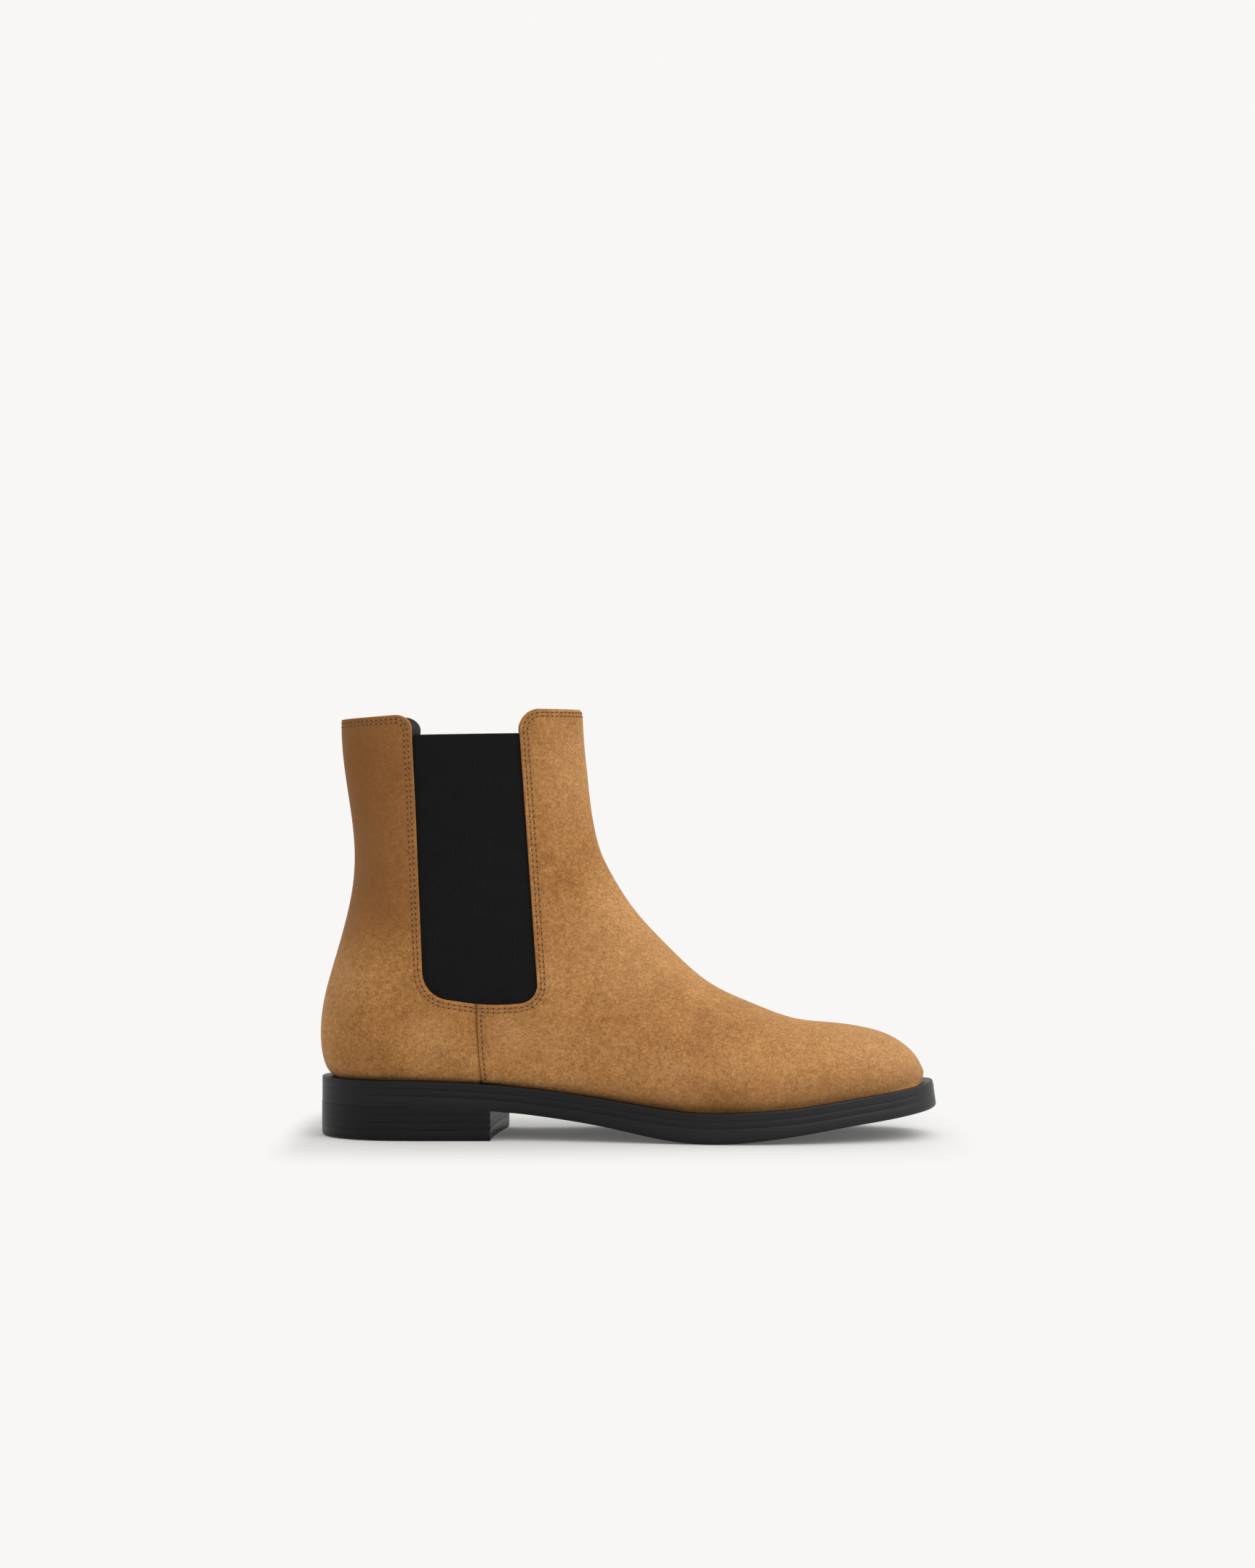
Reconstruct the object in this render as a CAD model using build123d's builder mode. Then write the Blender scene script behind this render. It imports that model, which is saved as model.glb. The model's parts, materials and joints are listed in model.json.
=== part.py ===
from build123d import *
import math
import os

# Right chelsea boot: a suede upper with elastic gores, lasted onto a welted and heeled leather sole.
# Millimetres. The origin is the middle of the heel's ground face, +X runs to the toe, +Z is up
# and the outer side of the foot is towards -Y. Stations along the boot are measured forward from
# the back edge of the sole, and forward() turns such a station into an X.

# ---- Driving dimensions -------------------------------------------------------------------------

# Overall
sole_length = 301.5
ball_width = 100.0
heel_width = 70.0
shaft_height = 208.4
shaft_length = 118.4
shaft_width = 68.0

# Sole stack
welt_thickness = 4.0
midsole_thickness = 3.2
outsole_thickness = 5.3
ball_tread = 2.2
toe_spring = 14.2
welt_width = 14.0
edge_round = 1.6

# Heel
heel_length = 86.0
heel_height = 16.5
heel_pitch = 2.1
breast_skew = 7.4
breast_hollow = 1.6
top_piece_thickness = 5.3
top_piece_round = 2.2
thinnest_lift = 2.1

# Upper, from the outside in
suede_thickness = 1.4
interlining_thickness = 1.4
lining_thickness = 1.0
lap = 8.0

# Gore opening, seen from the side
back_tab_width = 35.7
gore_width_top = 51.9
gore_width_floor = 55.6
gore_lean = 6.9
gore_floor = 64.6
gore_low_point = 33.0
gore_back_corner = 4.9
gore_front_corner = 2.4
gore_back_round = 14.0
gore_front_round = 9.0
gore_floor_round = 100.0

# Top line
gore_drop_front = 11.4
gore_drop_back = 13.4
back_tab_drop = 5.2
back_tab_rise = 2.2
front_tab_round = 10.0
back_tab_round = 7.5

# Side seam, toe puff and heel counter
seam_station = 78.1
seam_lean = 7.0
seam_step = 3.0
puff_length = 62.0
puff_lean = 9.0
counter_height = 76.0
counter_middle_height = 62.0
counter_front_height = 44.0

# Insole, sock, shank and nails
insole_thickness = 2.5
sock_thickness = 1.2
shank_length = 104.0
shank_width = 14.0
shank_thickness = 1.2
shank_start = 62.0
rivet_radius = 1.6
rivet_head_radius = 3.2
rivet_head_thickness = 0.8
rivet_inset = 9.0
nail_radius = 0.8
nail_head_radius = 1.5
nail_head_thickness = 0.9
top_piece_nail_inset = 7.0
top_piece_nail_cover = 1.3
seat_nail_inset = 19.0
seat_nail_bite = 1.4

# ---- Values worked out from the driving dimensions ----------------------------------------------

stack = welt_thickness + midsole_thickness + outsole_thickness
upper_thickness = suede_thickness + interlining_thickness + lining_thickness
breast_height = heel_height - heel_pitch
lift_thickness = (breast_height - top_piece_thickness - thinnest_lift) / 2
reach = ball_width
over = 12.0

# Sizes that the last's stations below are drawn for
drawn_length = 301.5
drawn_width = 100.0
drawn_height = 208.4
drawn_shaft_length = 118.4
drawn_shaft_width = 68.0
ankle_height = 100.0
shaft_back_station = 9.5

# One row for each cross-section of the last, from the toe back and up to the top line:
# station and height of its lower end, station and height of its upper end, half width on the
# outer side, half width on the inner side, where the widest point lies between the ends, and the
# roundness of the lower and the upper end, where 2 is an ellipse and more is squarer.
last_sections = [
    (283.0, 12.5, 292.5, 22.5, 11.0, 11.0, 0.50, 2.0, 2.0),
    (277.0, 10.5, 295.2, 30.0, 20.0, 19.0, 0.48, 2.0, 2.0),
    (270.0, 8.5, 292.8, 37.0, 27.0, 25.0, 0.46, 2.1, 2.0),
    (262.0, 7.0, 288.2, 42.5, 32.5, 29.5, 0.44, 2.2, 2.0),
    (253.0, 6.0, 279.0, 48.7, 37.0, 33.5, 0.42, 2.3, 2.0),
    (243.0, 5.0, 267.0, 52.4, 41.0, 37.0, 0.40, 2.4, 2.0),
    (232.0, 4.5, 252.0, 54.6, 44.5, 40.5, 0.38, 2.4, 2.0),
    (214.0, 4.5, 232.0, 56.8, 48.0, 44.5, 0.36, 2.4, 2.0),
    (194.0, 4.5, 211.4, 64.0, 49.0, 46.0, 0.33, 2.4, 2.0),
    (170.0, 5.5, 191.0, 73.7, 46.0, 42.5, 0.30, 2.4, 1.9),
    (142.0, 8.5, 171.0, 91.0, 40.5, 35.5, 0.27, 2.5, 1.85),
    (112.0, 12.5, 155.5, 107.4, 35.5, 31.5, 0.25, 2.6, 1.9),
    (80.0, 16.0, 145.5, 122.0, 33.5, 31.0, 0.23, 2.7, 2.0),
    (48.0, 17.5, 139.3, 133.5, 33.5, 32.5, 0.21, 2.6, 2.1),
    (20.0, 20.0, 135.6, 143.3, 34.0, 33.8, 0.20, 2.4, 2.2),
    (4.0, 30.0, 133.4, 153.0, 34.2, 34.2, 0.20, 2.1, 2.2),
    (-0.5, 48.0, 132.1, 161.0, 34.0, 34.0, 0.20, 2.0, 2.2),
    (3.0, 75.0, 131.0, 170.0, 32.5, 32.5, 0.24, 2.0, 2.2),
    (9.5, 96.0, 130.2, 178.0, 31.5, 31.5, 0.28, 2.0, 2.2),
    (14.5, 118.0, 129.4, 185.0, 31.5, 31.5, 0.32, 2.0, 2.2),
    (15.6, 142.0, 128.7, 193.0, 32.0, 32.0, 0.36, 2.0, 2.2),
    (12.5, 170.0, 128.2, 201.0, 33.0, 33.0, 0.40, 2.05, 2.15),
    (9.5, 198.0, 127.9, 209.0, 34.0, 34.0, 0.42, 2.1, 2.1),
    (9.3, 222.0, 127.8, 222.0, 34.0, 34.0, 0.43, 2.1, 2.1),
]
toe_pole = (287.0, 15.0)
section_points = 28
filler_points = 28

# The sole's plan, from the back round the outer side to the tip and home along the inner side:
# station, and half width as a share of half the heel's width or half the ball's width.
heel_plan_out = [(8.0, -0.577), (22.0, -0.87), (45.0, -0.987), (75.0, -0.988)]
fore_plan_out = [(102, -0.712), (132, -0.794), (165, -0.924), (195, -1.02), (220, -1.032),
                 (246, -0.96), (262, -0.87), (276, -0.77), (288, -0.608), (296, -0.418)]
fore_plan_in = [(296, 0.40), (288, 0.572), (276, 0.708), (262, 0.80), (246, 0.88), (220, 0.964),
                (195, 0.964), (165, 0.852), (132, 0.706), (102, 0.652)]
heel_plan_in = [(75.0, 0.938), (45.0, 0.972), (22.0, 0.87), (8.0, 0.577)]

# The sole's side: station, height of the underside as a share of the heel's height behind the
# ball or of the toe spring in front of it, and the share of the ball tread added there.
side_behind_ball = [(114, 0.685, 0.10), (144, 0.39, 0.40), (166, 0.12, 0.85)]
side_before_ball = [(208, 0.07, 0.80), (232, 0.29, 0.20), (256, 0.56, 0.0), (281, 0.80, 0.05)]
ball_station = 187.0


def forward(station):
    """X of a station measured forward from the back edge of the sole."""
    return station - heel_length / 2


def grown(station):
    """A drawn station, stretched to the sole's length."""
    return station * sole_length / drawn_length


def shaft_share(height):
    """How far up the shaft a drawn height is: 0 at the ankle and below, 1 at the top."""
    return min(max((height - ankle_height) / (drawn_height - ankle_height), 0.0), 1.0)


def raised(height):
    """A drawn height, with the shaft above the ankle stretched to the boot's height."""
    stretch = (shaft_height - ankle_height) / (drawn_height - ankle_height)
    return min(height, ankle_height) + max(height - ankle_height, 0.0) * stretch


def last_point(station, height):
    """X and Z of a drawn point of the last at the boot's real size."""
    foot = grown(station)
    back = grown(shaft_back_station)
    shaft = back + (station - shaft_back_station) * shaft_length / drawn_shaft_length
    share = shaft_share(height)
    return forward(foot * (1 - share) + shaft * share), raised(height)


def last_half_width(half_width, height):
    """Half width of the last at the boot's real size."""
    share = shaft_share(height)
    foot = half_width * ball_width / drawn_width
    shaft = half_width * shaft_width / drawn_shaft_width
    return foot * (1 - share) + shaft * share


def egg_points(length, outer, inner, widest, lower_power, upper_power):
    """Points round one egg-shaped section, whose length runs along the sketch's x."""
    points = []
    for step in range(section_points):
        turn = 2 * math.pi * step / section_points
        lower = math.cos(turn) > 0
        power = lower_power if lower else upper_power
        run = length * widest if lower else length * (1 - widest)
        along = math.copysign(abs(math.cos(turn)) ** (2 / power), math.cos(turn)) * run
        half = inner if math.sin(turn) > 0 else outer
        across = math.copysign(abs(math.sin(turn)) ** (2 / power), math.sin(turn)) * half
        points.append(Vector(length * widest - along, across))
    return points


def tangent_slope(points, index):
    """Slope of the line that the sections' ends follow, at one section."""
    before = points[max(index - 1, 0)]
    after = points[min(index + 1, len(points) - 1)]
    return math.atan2(after[1] - before[1], after[0] - before[0])


def end_inset(points, index, slope, inset):
    """How far an end of a section moves in, along the section, for a wall of this thickness."""
    return inset / max(abs(math.sin(tangent_slope(points, index) - slope)), 0.5)


def last_form(inset):
    """The solid inside the upper's outer face, or inside that face moved in by a thickness."""
    lower = [last_point(row[0], row[1]) for row in last_sections]
    upper = [last_point(row[2], row[3]) for row in last_sections]
    knots = [step / section_points for step in range(section_points + 1)]
    pole_x, pole_z = last_point(*toe_pole)
    pole_inset = inset / math.sqrt(2)
    with BuildPart() as form:
        sections = []
        for index, row in enumerate(last_sections):
            (low_x, low_z), (high_x, high_z) = lower[index], upper[index]
            slope = math.atan2(high_z - low_z, high_x - low_x)
            low_inset = end_inset(lower, index, slope, inset)
            high_inset = end_inset(upper, index, slope, inset)
            length = math.hypot(high_x - low_x, high_z - low_z) - low_inset - high_inset
            along = Vector(math.cos(slope), 0, math.sin(slope))
            start = Vector(low_x, 0, low_z) + along * low_inset
            height = (row[1] + row[3]) / 2
            outer = last_half_width(row[4], height) - inset
            inner = last_half_width(row[5], height) - inset
            plane = Plane(start, x_dir=along, z_dir=(-along.Z, 0, along.X))
            with BuildSketch(plane) as section:
                with BuildLine():
                    egg = egg_points(length, outer, inner, row[6], row[7], row[8])
                    add(Edge.make_spline(egg, periodic=True, parameters=knots))
                make_face()
            sections.append(section.sketch)
        loft([Vertex(pole_x - pole_inset, 0, pole_z + pole_inset)] + sections)
    return form.part


# ---- Curves and outlines that neighbouring pieces share -----------------------------------------

def sole_outline():
    """Points of the sole's plan, round from the back edge."""
    heel, ball = heel_width / 2, ball_width / 2
    points = [(forward(0), 0)]
    points += [(forward(grown(station)), share * heel) for station, share in heel_plan_out]
    points += [(forward(grown(station)), share * ball) for station, share in fore_plan_out]
    points += [(forward(sole_length), 0)]
    points += [(forward(grown(station)), share * ball) for station, share in fore_plan_in]
    points += [(forward(grown(station)), share * heel) for station, share in heel_plan_in]
    return points


def side_curve(depth):
    """Points of the sole's side at a depth below the feather line, the top of the welt."""
    rows = [(-over, heel_height, 0.0), (0.0, heel_height, 0.0), (heel_length, breast_height, 0.0)]
    rows += [(grown(s), share * heel_height, tread) for s, share, tread in side_behind_ball]
    rows += [(grown(ball_station), 0.0, 1.0)]
    rows += [(grown(s), share * toe_spring, tread) for s, share, tread in side_before_ball]
    rows += [(sole_length, toe_spring, 0.3), (sole_length + over, toe_spring + 1.6, 0.4)]
    if depth is None:
        return [(forward(station), under) for station, under, tread in rows]
    return [(forward(s), under + stack + ball_tread * tread - depth) for s, under, tread in rows]


def draw_band(top_depth, bottom_depth, mode=Mode.ADD):
    """Side view of a layer between two depths below the feather line; None is the underside."""
    with BuildLine() as outline:
        top = Spline(*side_curve(top_depth))
        bottom = Spline(*side_curve(bottom_depth))
        Line(top @ 0, bottom @ 0)
        Line(top @ 1, bottom @ 1)
    make_face(outline.edges(), mode=mode)


def draw_above_feather(mode=Mode.ADD):
    """Side view of everything between the feather line and just above the top line."""
    with BuildLine() as outline:
        feather = Spline(*side_curve(0.0))
        roof = shaft_height + over / 2
        Polyline(feather @ 1, ((feather @ 1).X, roof), ((feather @ 0).X, roof), feather @ 0)
    make_face(outline.edges(), mode=mode)


def draw_opening(grow=0.0, mode=Mode.ADD):
    """Side view of the U-shaped gore opening, open at the top, or grown by a margin."""
    back = forward(grown(shaft_back_station) + back_tab_width)
    roof = shaft_height + over
    corner = back + gore_lean
    points = [
        (back - grow, roof),
        (corner - grow, gore_floor + gore_back_corner - grow),
        (corner + gore_low_point, gore_floor - grow),
        (corner + gore_width_floor + grow, gore_floor + gore_front_corner - grow),
        (back + gore_width_top + grow, roof),
    ]
    radii = [gore_back_round + grow, gore_floor_round, gore_front_round + grow]
    with BuildLine() as outline:
        edge = FilletPolyline(*points, radius=radii)
        Line(edge @ 1, edge @ 0)
    make_face(outline.edges(), mode=mode)


def draw_gore_patch(mode=Mode.ADD):
    """Side view of one gore: the opening and a lap round it, cut off at its own top edge."""
    back = forward(grown(shaft_back_station))
    front = back + shaft_length
    roof = shaft_height + 2 * over
    with BuildSketch(mode=Mode.PRIVATE) as patch:
        draw_opening(lap)
        with BuildLine() as outline:
            edge_back = (back, shaft_height - gore_drop_back)
            edge_front = (front, shaft_height - gore_drop_front)
            Polyline(edge_back, edge_front, (front, roof), (back, roof), close=True)
        make_face(outline.edges(), mode=Mode.SUBTRACT)
    add(patch.sketch_local, mode=mode)


def seam_line(shift=0.0):
    """The side seam, from the gore's floor down to the sole, in the open BuildLine."""
    top = (forward(seam_station) + shift, gore_floor + gore_back_corner)
    foot = (forward(seam_station) + seam_lean + shift, 0.0)
    return TangentArc(top, foot, tangent=(0, -1))


def draw_front_panel():
    """Side view of the front panel: before the seam and the opening, above the sole."""
    far = forward(sole_length) + over
    corner = forward(grown(shaft_back_station) + back_tab_width) + gore_width_top
    with BuildLine() as outline:
        seam = seam_line()
        Polyline(seam @ 0, ((seam @ 0).X, shaft_height), (far, shaft_height), (far, 0), seam @ 1)
    make_face(outline.edges())
    draw_opening(mode=Mode.SUBTRACT)
    tab = sketch_corner(corner, shaft_height)
    fillet(tab, radius=front_tab_round)
    draw_above_feather(mode=Mode.INTERSECT)


def draw_back_panel():
    """Side view of the back panel: behind the seam and the opening, above the sole."""
    back = forward(grown(shaft_back_station))
    corner = back + back_tab_width
    low = shaft_height - back_tab_drop
    rise = back_tab_rise / back_tab_width
    with BuildLine() as outline:
        seam = seam_line()
        front, far = (seam @ 0).X, forward(-over)
        high_end = (front, low + rise * (front - back))
        low_end = (far, low + rise * (far - back))
        Polyline(seam @ 0, high_end, low_end, (far, 0), seam @ 1)
    make_face(outline.edges())
    draw_opening(mode=Mode.SUBTRACT)
    tab = sketch_corner(corner, low + back_tab_rise)
    fillet(tab, radius=back_tab_round)
    draw_above_feather(mode=Mode.INTERSECT)


def sketch_corner(x, z):
    """The corner of the open sketch that lies nearest to a point."""
    return vertices().sort_by_distance((x, z))[0]


def draw_seam_strip(mode=Mode.ADD):
    """Side view of the back panel's margin that runs under the front panel at the side seam."""
    with BuildLine() as outline:
        behind = seam_line(-seam_step)
        before = seam_line(lap)
        Line(behind @ 0, before @ 0)
        Line(behind @ 1, before @ 1)
    make_face(outline.edges(), mode=mode)


def draw_toe_puff(mode=Mode.ADD):
    """Side view of the toe stiffener."""
    tip = forward(sole_length)
    foot = tip - puff_length
    with BuildLine() as outline:
        top = ankle_height
        Polyline((foot, 0), (tip + over, 0), (tip + over, top), (foot - puff_lean, top), close=True)
    make_face(outline.edges(), mode=mode)


def draw_heel_counter(mode=Mode.ADD):
    """Side view of the heel stiffener, behind the seam's step."""
    back, middle, front = forward(-over), forward(heel_width / 2), forward(seam_station)
    with BuildLine() as outline:
        edge = Spline((back, counter_height), (middle, counter_middle_height),
                      (front + seam_lean, counter_front_height))
        Polyline(edge @ 1, (front + seam_lean, 0), (back, 0), edge @ 0)
    make_face(outline.edges(), mode=mode)


def draw_sole_plan():
    """Plan of the whole sole."""
    with BuildLine() as outline:
        Spline(*sole_outline(), periodic=True)
    make_face(outline.edges())


def draw_filler_plan():
    """Plan of everything inside the welt: the sole's plan drawn in by the welt's width."""
    rim = Edge.make_spline([Vector(*point) for point in sole_outline()], periodic=True)
    inset = []
    for step in range(filler_points):
        share = step / filler_points
        inward = (rim % share).rotate(Axis.Z, 90)
        inset.append(rim @ share + inward * welt_width)
    with BuildLine() as outline:
        Spline(*inset, periodic=True)
    make_face(outline.edges())


def draw_behind_breast(mode=Mode.ADD):
    """Plan of everything behind the heel's front face, which is hollow and skewed."""
    middle = forward(heel_length)
    half = heel_width / 2
    outer = (middle + breast_hollow - breast_skew / 2, -half)
    inner = (middle + breast_hollow + breast_skew / 2, half)
    back = forward(-over)
    with BuildLine() as outline:
        ThreePointArc(outer, (middle, 0), inner)
        Polyline(inner, (inner[0], reach), (back, reach), (back, -reach), (outer[0], -reach), outer)
    make_face(outline.edges(), mode=mode)


def heel_nail_places(inset):
    """Nails round the back of the heel and along its two sides, in from the heel's edge."""
    radius = heel_width / 2 - inset
    centre = forward(heel_width / 2)
    turns = [math.radians(turn) for turn in range(-90, 91, 30)]
    places = [(centre - radius * math.cos(turn), radius * math.sin(turn)) for turn in turns]
    run = (heel_length - heel_width / 2 - top_piece_nail_inset - breast_skew / 2) / 2
    places += [(centre + run * step, side * radius) for step in (1, 2) for side in (-1, 1)]
    return places


def pins(places, radius, top_depth, bottom_depth):
    """Upright pins between two depths below the feather line."""
    with BuildPart() as group:
        with BuildSketch():
            with Locations(*places):
                Circle(radius)
        extrude(amount=shaft_height)
        with BuildSketch(Plane.XZ):
            draw_band(top_depth, bottom_depth)
        extrude(amount=reach, both=True, mode=Mode.INTERSECT)
    return group.part


def underfoot(face):
    """Is this the face that looks down to the ground?"""
    return face.normal_at().Z < -0.7


def finish(piece, name):
    """Labels a finished piece and writes it."""
    piece.part.label = name
    export_step(piece.part, f"parts/{name}.step")


# ---- Profiles -----------------------------------------------------------------------------------

os.makedirs("parts", exist_ok=True)

with BuildSketch(Plane.XZ) as above_sole:
    draw_above_feather()

with BuildSketch(Plane.XZ) as front_panel:
    draw_front_panel()

with BuildSketch(Plane.XZ) as back_panel:
    draw_back_panel()

with BuildSketch(Plane.XZ) as gore_patch:
    draw_gore_patch()

with BuildSketch(Plane.XZ) as seam_strip:
    draw_seam_strip()
    draw_gore_patch(mode=Mode.SUBTRACT)
    draw_above_feather(mode=Mode.INTERSECT)

with BuildSketch(Plane.XZ) as puff_panel:
    draw_front_panel()
    draw_toe_puff(mode=Mode.INTERSECT)

with BuildSketch(Plane.XZ) as vamp_backing:
    draw_front_panel()
    draw_gore_patch(mode=Mode.SUBTRACT)
    draw_seam_strip(mode=Mode.SUBTRACT)
    draw_toe_puff(mode=Mode.SUBTRACT)

with BuildSketch(Plane.XZ) as counter_panel:
    draw_back_panel()
    draw_gore_patch(mode=Mode.SUBTRACT)
    draw_seam_strip(mode=Mode.SUBTRACT)
    draw_heel_counter(mode=Mode.INTERSECT)

with BuildSketch(Plane.XZ) as quarter_backing:
    draw_back_panel()
    draw_gore_patch(mode=Mode.SUBTRACT)
    draw_seam_strip(mode=Mode.SUBTRACT)
    draw_heel_counter(mode=Mode.SUBTRACT)

with BuildSketch() as sole_plan:
    draw_sole_plan()

with BuildSketch() as filler_plan:
    draw_filler_plan()

with BuildSketch() as heel_plan:
    draw_sole_plan()
    draw_behind_breast(mode=Mode.INTERSECT)

with BuildSketch() as fore_plan:
    draw_sole_plan()
    draw_behind_breast(mode=Mode.SUBTRACT)

# ---- The walls that the upper's pieces are cut from ---------------------------------------------

outer_form = last_form(0.0)
suede_lining_face = last_form(suede_thickness)
interlining_face = last_form(suede_thickness + interlining_thickness)
foot_space = last_form(upper_thickness)

with BuildPart() as suede_wall:
    add(outer_form)
    extrude(above_sole.sketch, amount=reach, both=True, mode=Mode.INTERSECT)
    add(suede_lining_face, mode=Mode.SUBTRACT)

with BuildPart() as backing_wall:
    add(suede_lining_face)
    extrude(above_sole.sketch, amount=reach, both=True, mode=Mode.INTERSECT)
    add(interlining_face, mode=Mode.SUBTRACT)

with BuildPart() as lining_wall:
    add(interlining_face)
    extrude(above_sole.sketch, amount=reach, both=True, mode=Mode.INTERSECT)
    add(foot_space, mode=Mode.SUBTRACT)

# ---- Upper --------------------------------------------------------------------------------------

with BuildPart() as vamp:
    add(suede_wall.part)
    extrude(front_panel.sketch, amount=reach, both=True, mode=Mode.INTERSECT)
finish(vamp, "vamp")

# The back panel steps inwards at the side seam and runs on under the vamp
with BuildPart() as seam_margin:
    add(backing_wall.part)
    extrude(seam_strip.sketch, amount=reach, both=True, mode=Mode.INTERSECT)

with BuildPart() as back_quarter:
    add(suede_wall.part)
    extrude(back_panel.sketch, amount=reach, both=True, mode=Mode.INTERSECT)
    add(seam_margin.part)
finish(back_quarter, "back_quarter")

with BuildPart() as gore_lateral:
    add(backing_wall.part)
    extrude(gore_patch.sketch, amount=reach, dir=(0, -1, 0), mode=Mode.INTERSECT)
finish(gore_lateral, "gore_lateral")

with BuildPart() as gore_medial:
    add(backing_wall.part)
    extrude(gore_patch.sketch, amount=reach, dir=(0, 1, 0), mode=Mode.INTERSECT)
finish(gore_medial, "gore_medial")

with BuildPart() as toe_puff:
    add(backing_wall.part)
    extrude(puff_panel.sketch, amount=reach, both=True, mode=Mode.INTERSECT)
finish(toe_puff, "toe_puff")

with BuildPart() as vamp_interlining:
    add(backing_wall.part)
    extrude(vamp_backing.sketch, amount=reach, both=True, mode=Mode.INTERSECT)
finish(vamp_interlining, "vamp_interlining")

with BuildPart() as heel_counter:
    add(backing_wall.part)
    extrude(counter_panel.sketch, amount=reach, both=True, mode=Mode.INTERSECT)
finish(heel_counter, "heel_counter")

with BuildPart() as quarter_interlining:
    add(backing_wall.part)
    extrude(quarter_backing.sketch, amount=reach, both=True, mode=Mode.INTERSECT)
finish(quarter_interlining, "quarter_interlining")

with BuildPart() as vamp_lining:
    add(lining_wall.part)
    extrude(front_panel.sketch, amount=reach, both=True, mode=Mode.INTERSECT)
finish(vamp_lining, "vamp_lining")

with BuildPart() as quarter_lining:
    add(lining_wall.part)
    extrude(back_panel.sketch, amount=reach, both=True, mode=Mode.INTERSECT)
finish(quarter_lining, "quarter_lining")

# ---- Inside the bottom --------------------------------------------------------------------------

# Cutters start well above what they cut, so that every hole and pocket is open at its top.
above = -over
midsole_depth = welt_thickness + midsole_thickness
rivet_places = [(forward(shank_start + rivet_inset), 0),
                (forward(shank_start + shank_length - rivet_inset), 0)]
rivet_head_depth = shank_thickness + rivet_head_thickness
rivet_holes = pins(rivet_places, rivet_radius, above, over)
rivet_pockets = pins(rivet_places, rivet_head_radius, above, rivet_head_depth)
seat_nail_places = heel_nail_places(seat_nail_inset)
nail_head_depth = nail_head_thickness - insole_thickness
nail_tip_depth = stack + seat_nail_bite
seat_nail_holes = pins(seat_nail_places, nail_radius, above, nail_tip_depth)
seat_nail_pockets = pins(seat_nail_places, nail_head_radius, above, nail_head_depth)

with BuildPart() as shank_rivets:
    add(pins(rivet_places, rivet_radius, -insole_thickness, shank_thickness))
    add(pins(rivet_places, rivet_head_radius, shank_thickness, rivet_head_depth))
finish(shank_rivets, "shank_rivets")

with BuildPart() as heel_seat_nails:
    add(pins(seat_nail_places, nail_radius, nail_head_depth, nail_tip_depth))
    add(pins(seat_nail_places, nail_head_radius, -insole_thickness, nail_head_depth))
finish(heel_seat_nails, "heel_seat_nails")

with BuildSketch() as shank_plan:
    with Locations((forward(shank_start + shank_length / 2), 0)):
        SlotOverall(shank_length, shank_width)

with BuildPart() as shank_pocket:
    extrude(shank_plan.sketch, amount=shaft_height)
    with BuildSketch(Plane.XZ):
        draw_band(above, shank_thickness)
    extrude(amount=reach, both=True, mode=Mode.INTERSECT)

with BuildPart() as shank:
    extrude(shank_plan.sketch, amount=shaft_height)
    with BuildSketch(Plane.XZ):
        draw_band(0.0, shank_thickness)
    extrude(amount=reach, both=True, mode=Mode.INTERSECT)
    add(rivet_holes, mode=Mode.SUBTRACT)
finish(shank, "shank")

with BuildPart() as insole_board:
    add(foot_space)
    with BuildSketch(Plane.XZ):
        draw_band(-insole_thickness, 0.0)
    extrude(amount=reach, both=True, mode=Mode.INTERSECT)
    add(rivet_holes, mode=Mode.SUBTRACT)
    add(seat_nail_holes, mode=Mode.SUBTRACT)
    add(seat_nail_pockets, mode=Mode.SUBTRACT)
finish(insole_board, "insole_board")

with BuildPart() as sock_lining:
    add(foot_space)
    with BuildSketch(Plane.XZ):
        draw_band(-insole_thickness - sock_thickness, -insole_thickness)
    extrude(amount=reach, both=True, mode=Mode.INTERSECT)
finish(sock_lining, "sock_lining")

with BuildPart() as cork_filler:
    extrude(filler_plan.sketch, amount=shaft_height)
    with BuildSketch(Plane.XZ):
        draw_band(0.0, welt_thickness)
    extrude(amount=reach, both=True, mode=Mode.INTERSECT)
    add(shank_pocket.part, mode=Mode.SUBTRACT)
    add(rivet_pockets, mode=Mode.SUBTRACT)
    add(seat_nail_holes, mode=Mode.SUBTRACT)
finish(cork_filler, "cork_filler")

# ---- Sole ---------------------------------------------------------------------------------------

with BuildPart() as welt:
    extrude(sole_plan.sketch, amount=shaft_height)
    extrude(filler_plan.sketch, amount=shaft_height, mode=Mode.SUBTRACT)
    with BuildSketch(Plane.XZ):
        draw_band(0.0, welt_thickness)
    extrude(amount=reach, both=True, mode=Mode.INTERSECT)
finish(welt, "welt")

with BuildPart() as midsole:
    extrude(sole_plan.sketch, amount=shaft_height)
    with BuildSketch(Plane.XZ):
        draw_band(welt_thickness, midsole_depth)
    extrude(amount=reach, both=True, mode=Mode.INTERSECT)
    add(seat_nail_holes, mode=Mode.SUBTRACT)
finish(midsole, "midsole")

# The outsole's lower edge is rounded in front of the heel only
with BuildPart() as outsole_seat:
    extrude(heel_plan.sketch, amount=shaft_height)
    with BuildSketch(Plane.XZ):
        draw_band(midsole_depth, None)
    extrude(amount=reach, both=True, mode=Mode.INTERSECT)

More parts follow.
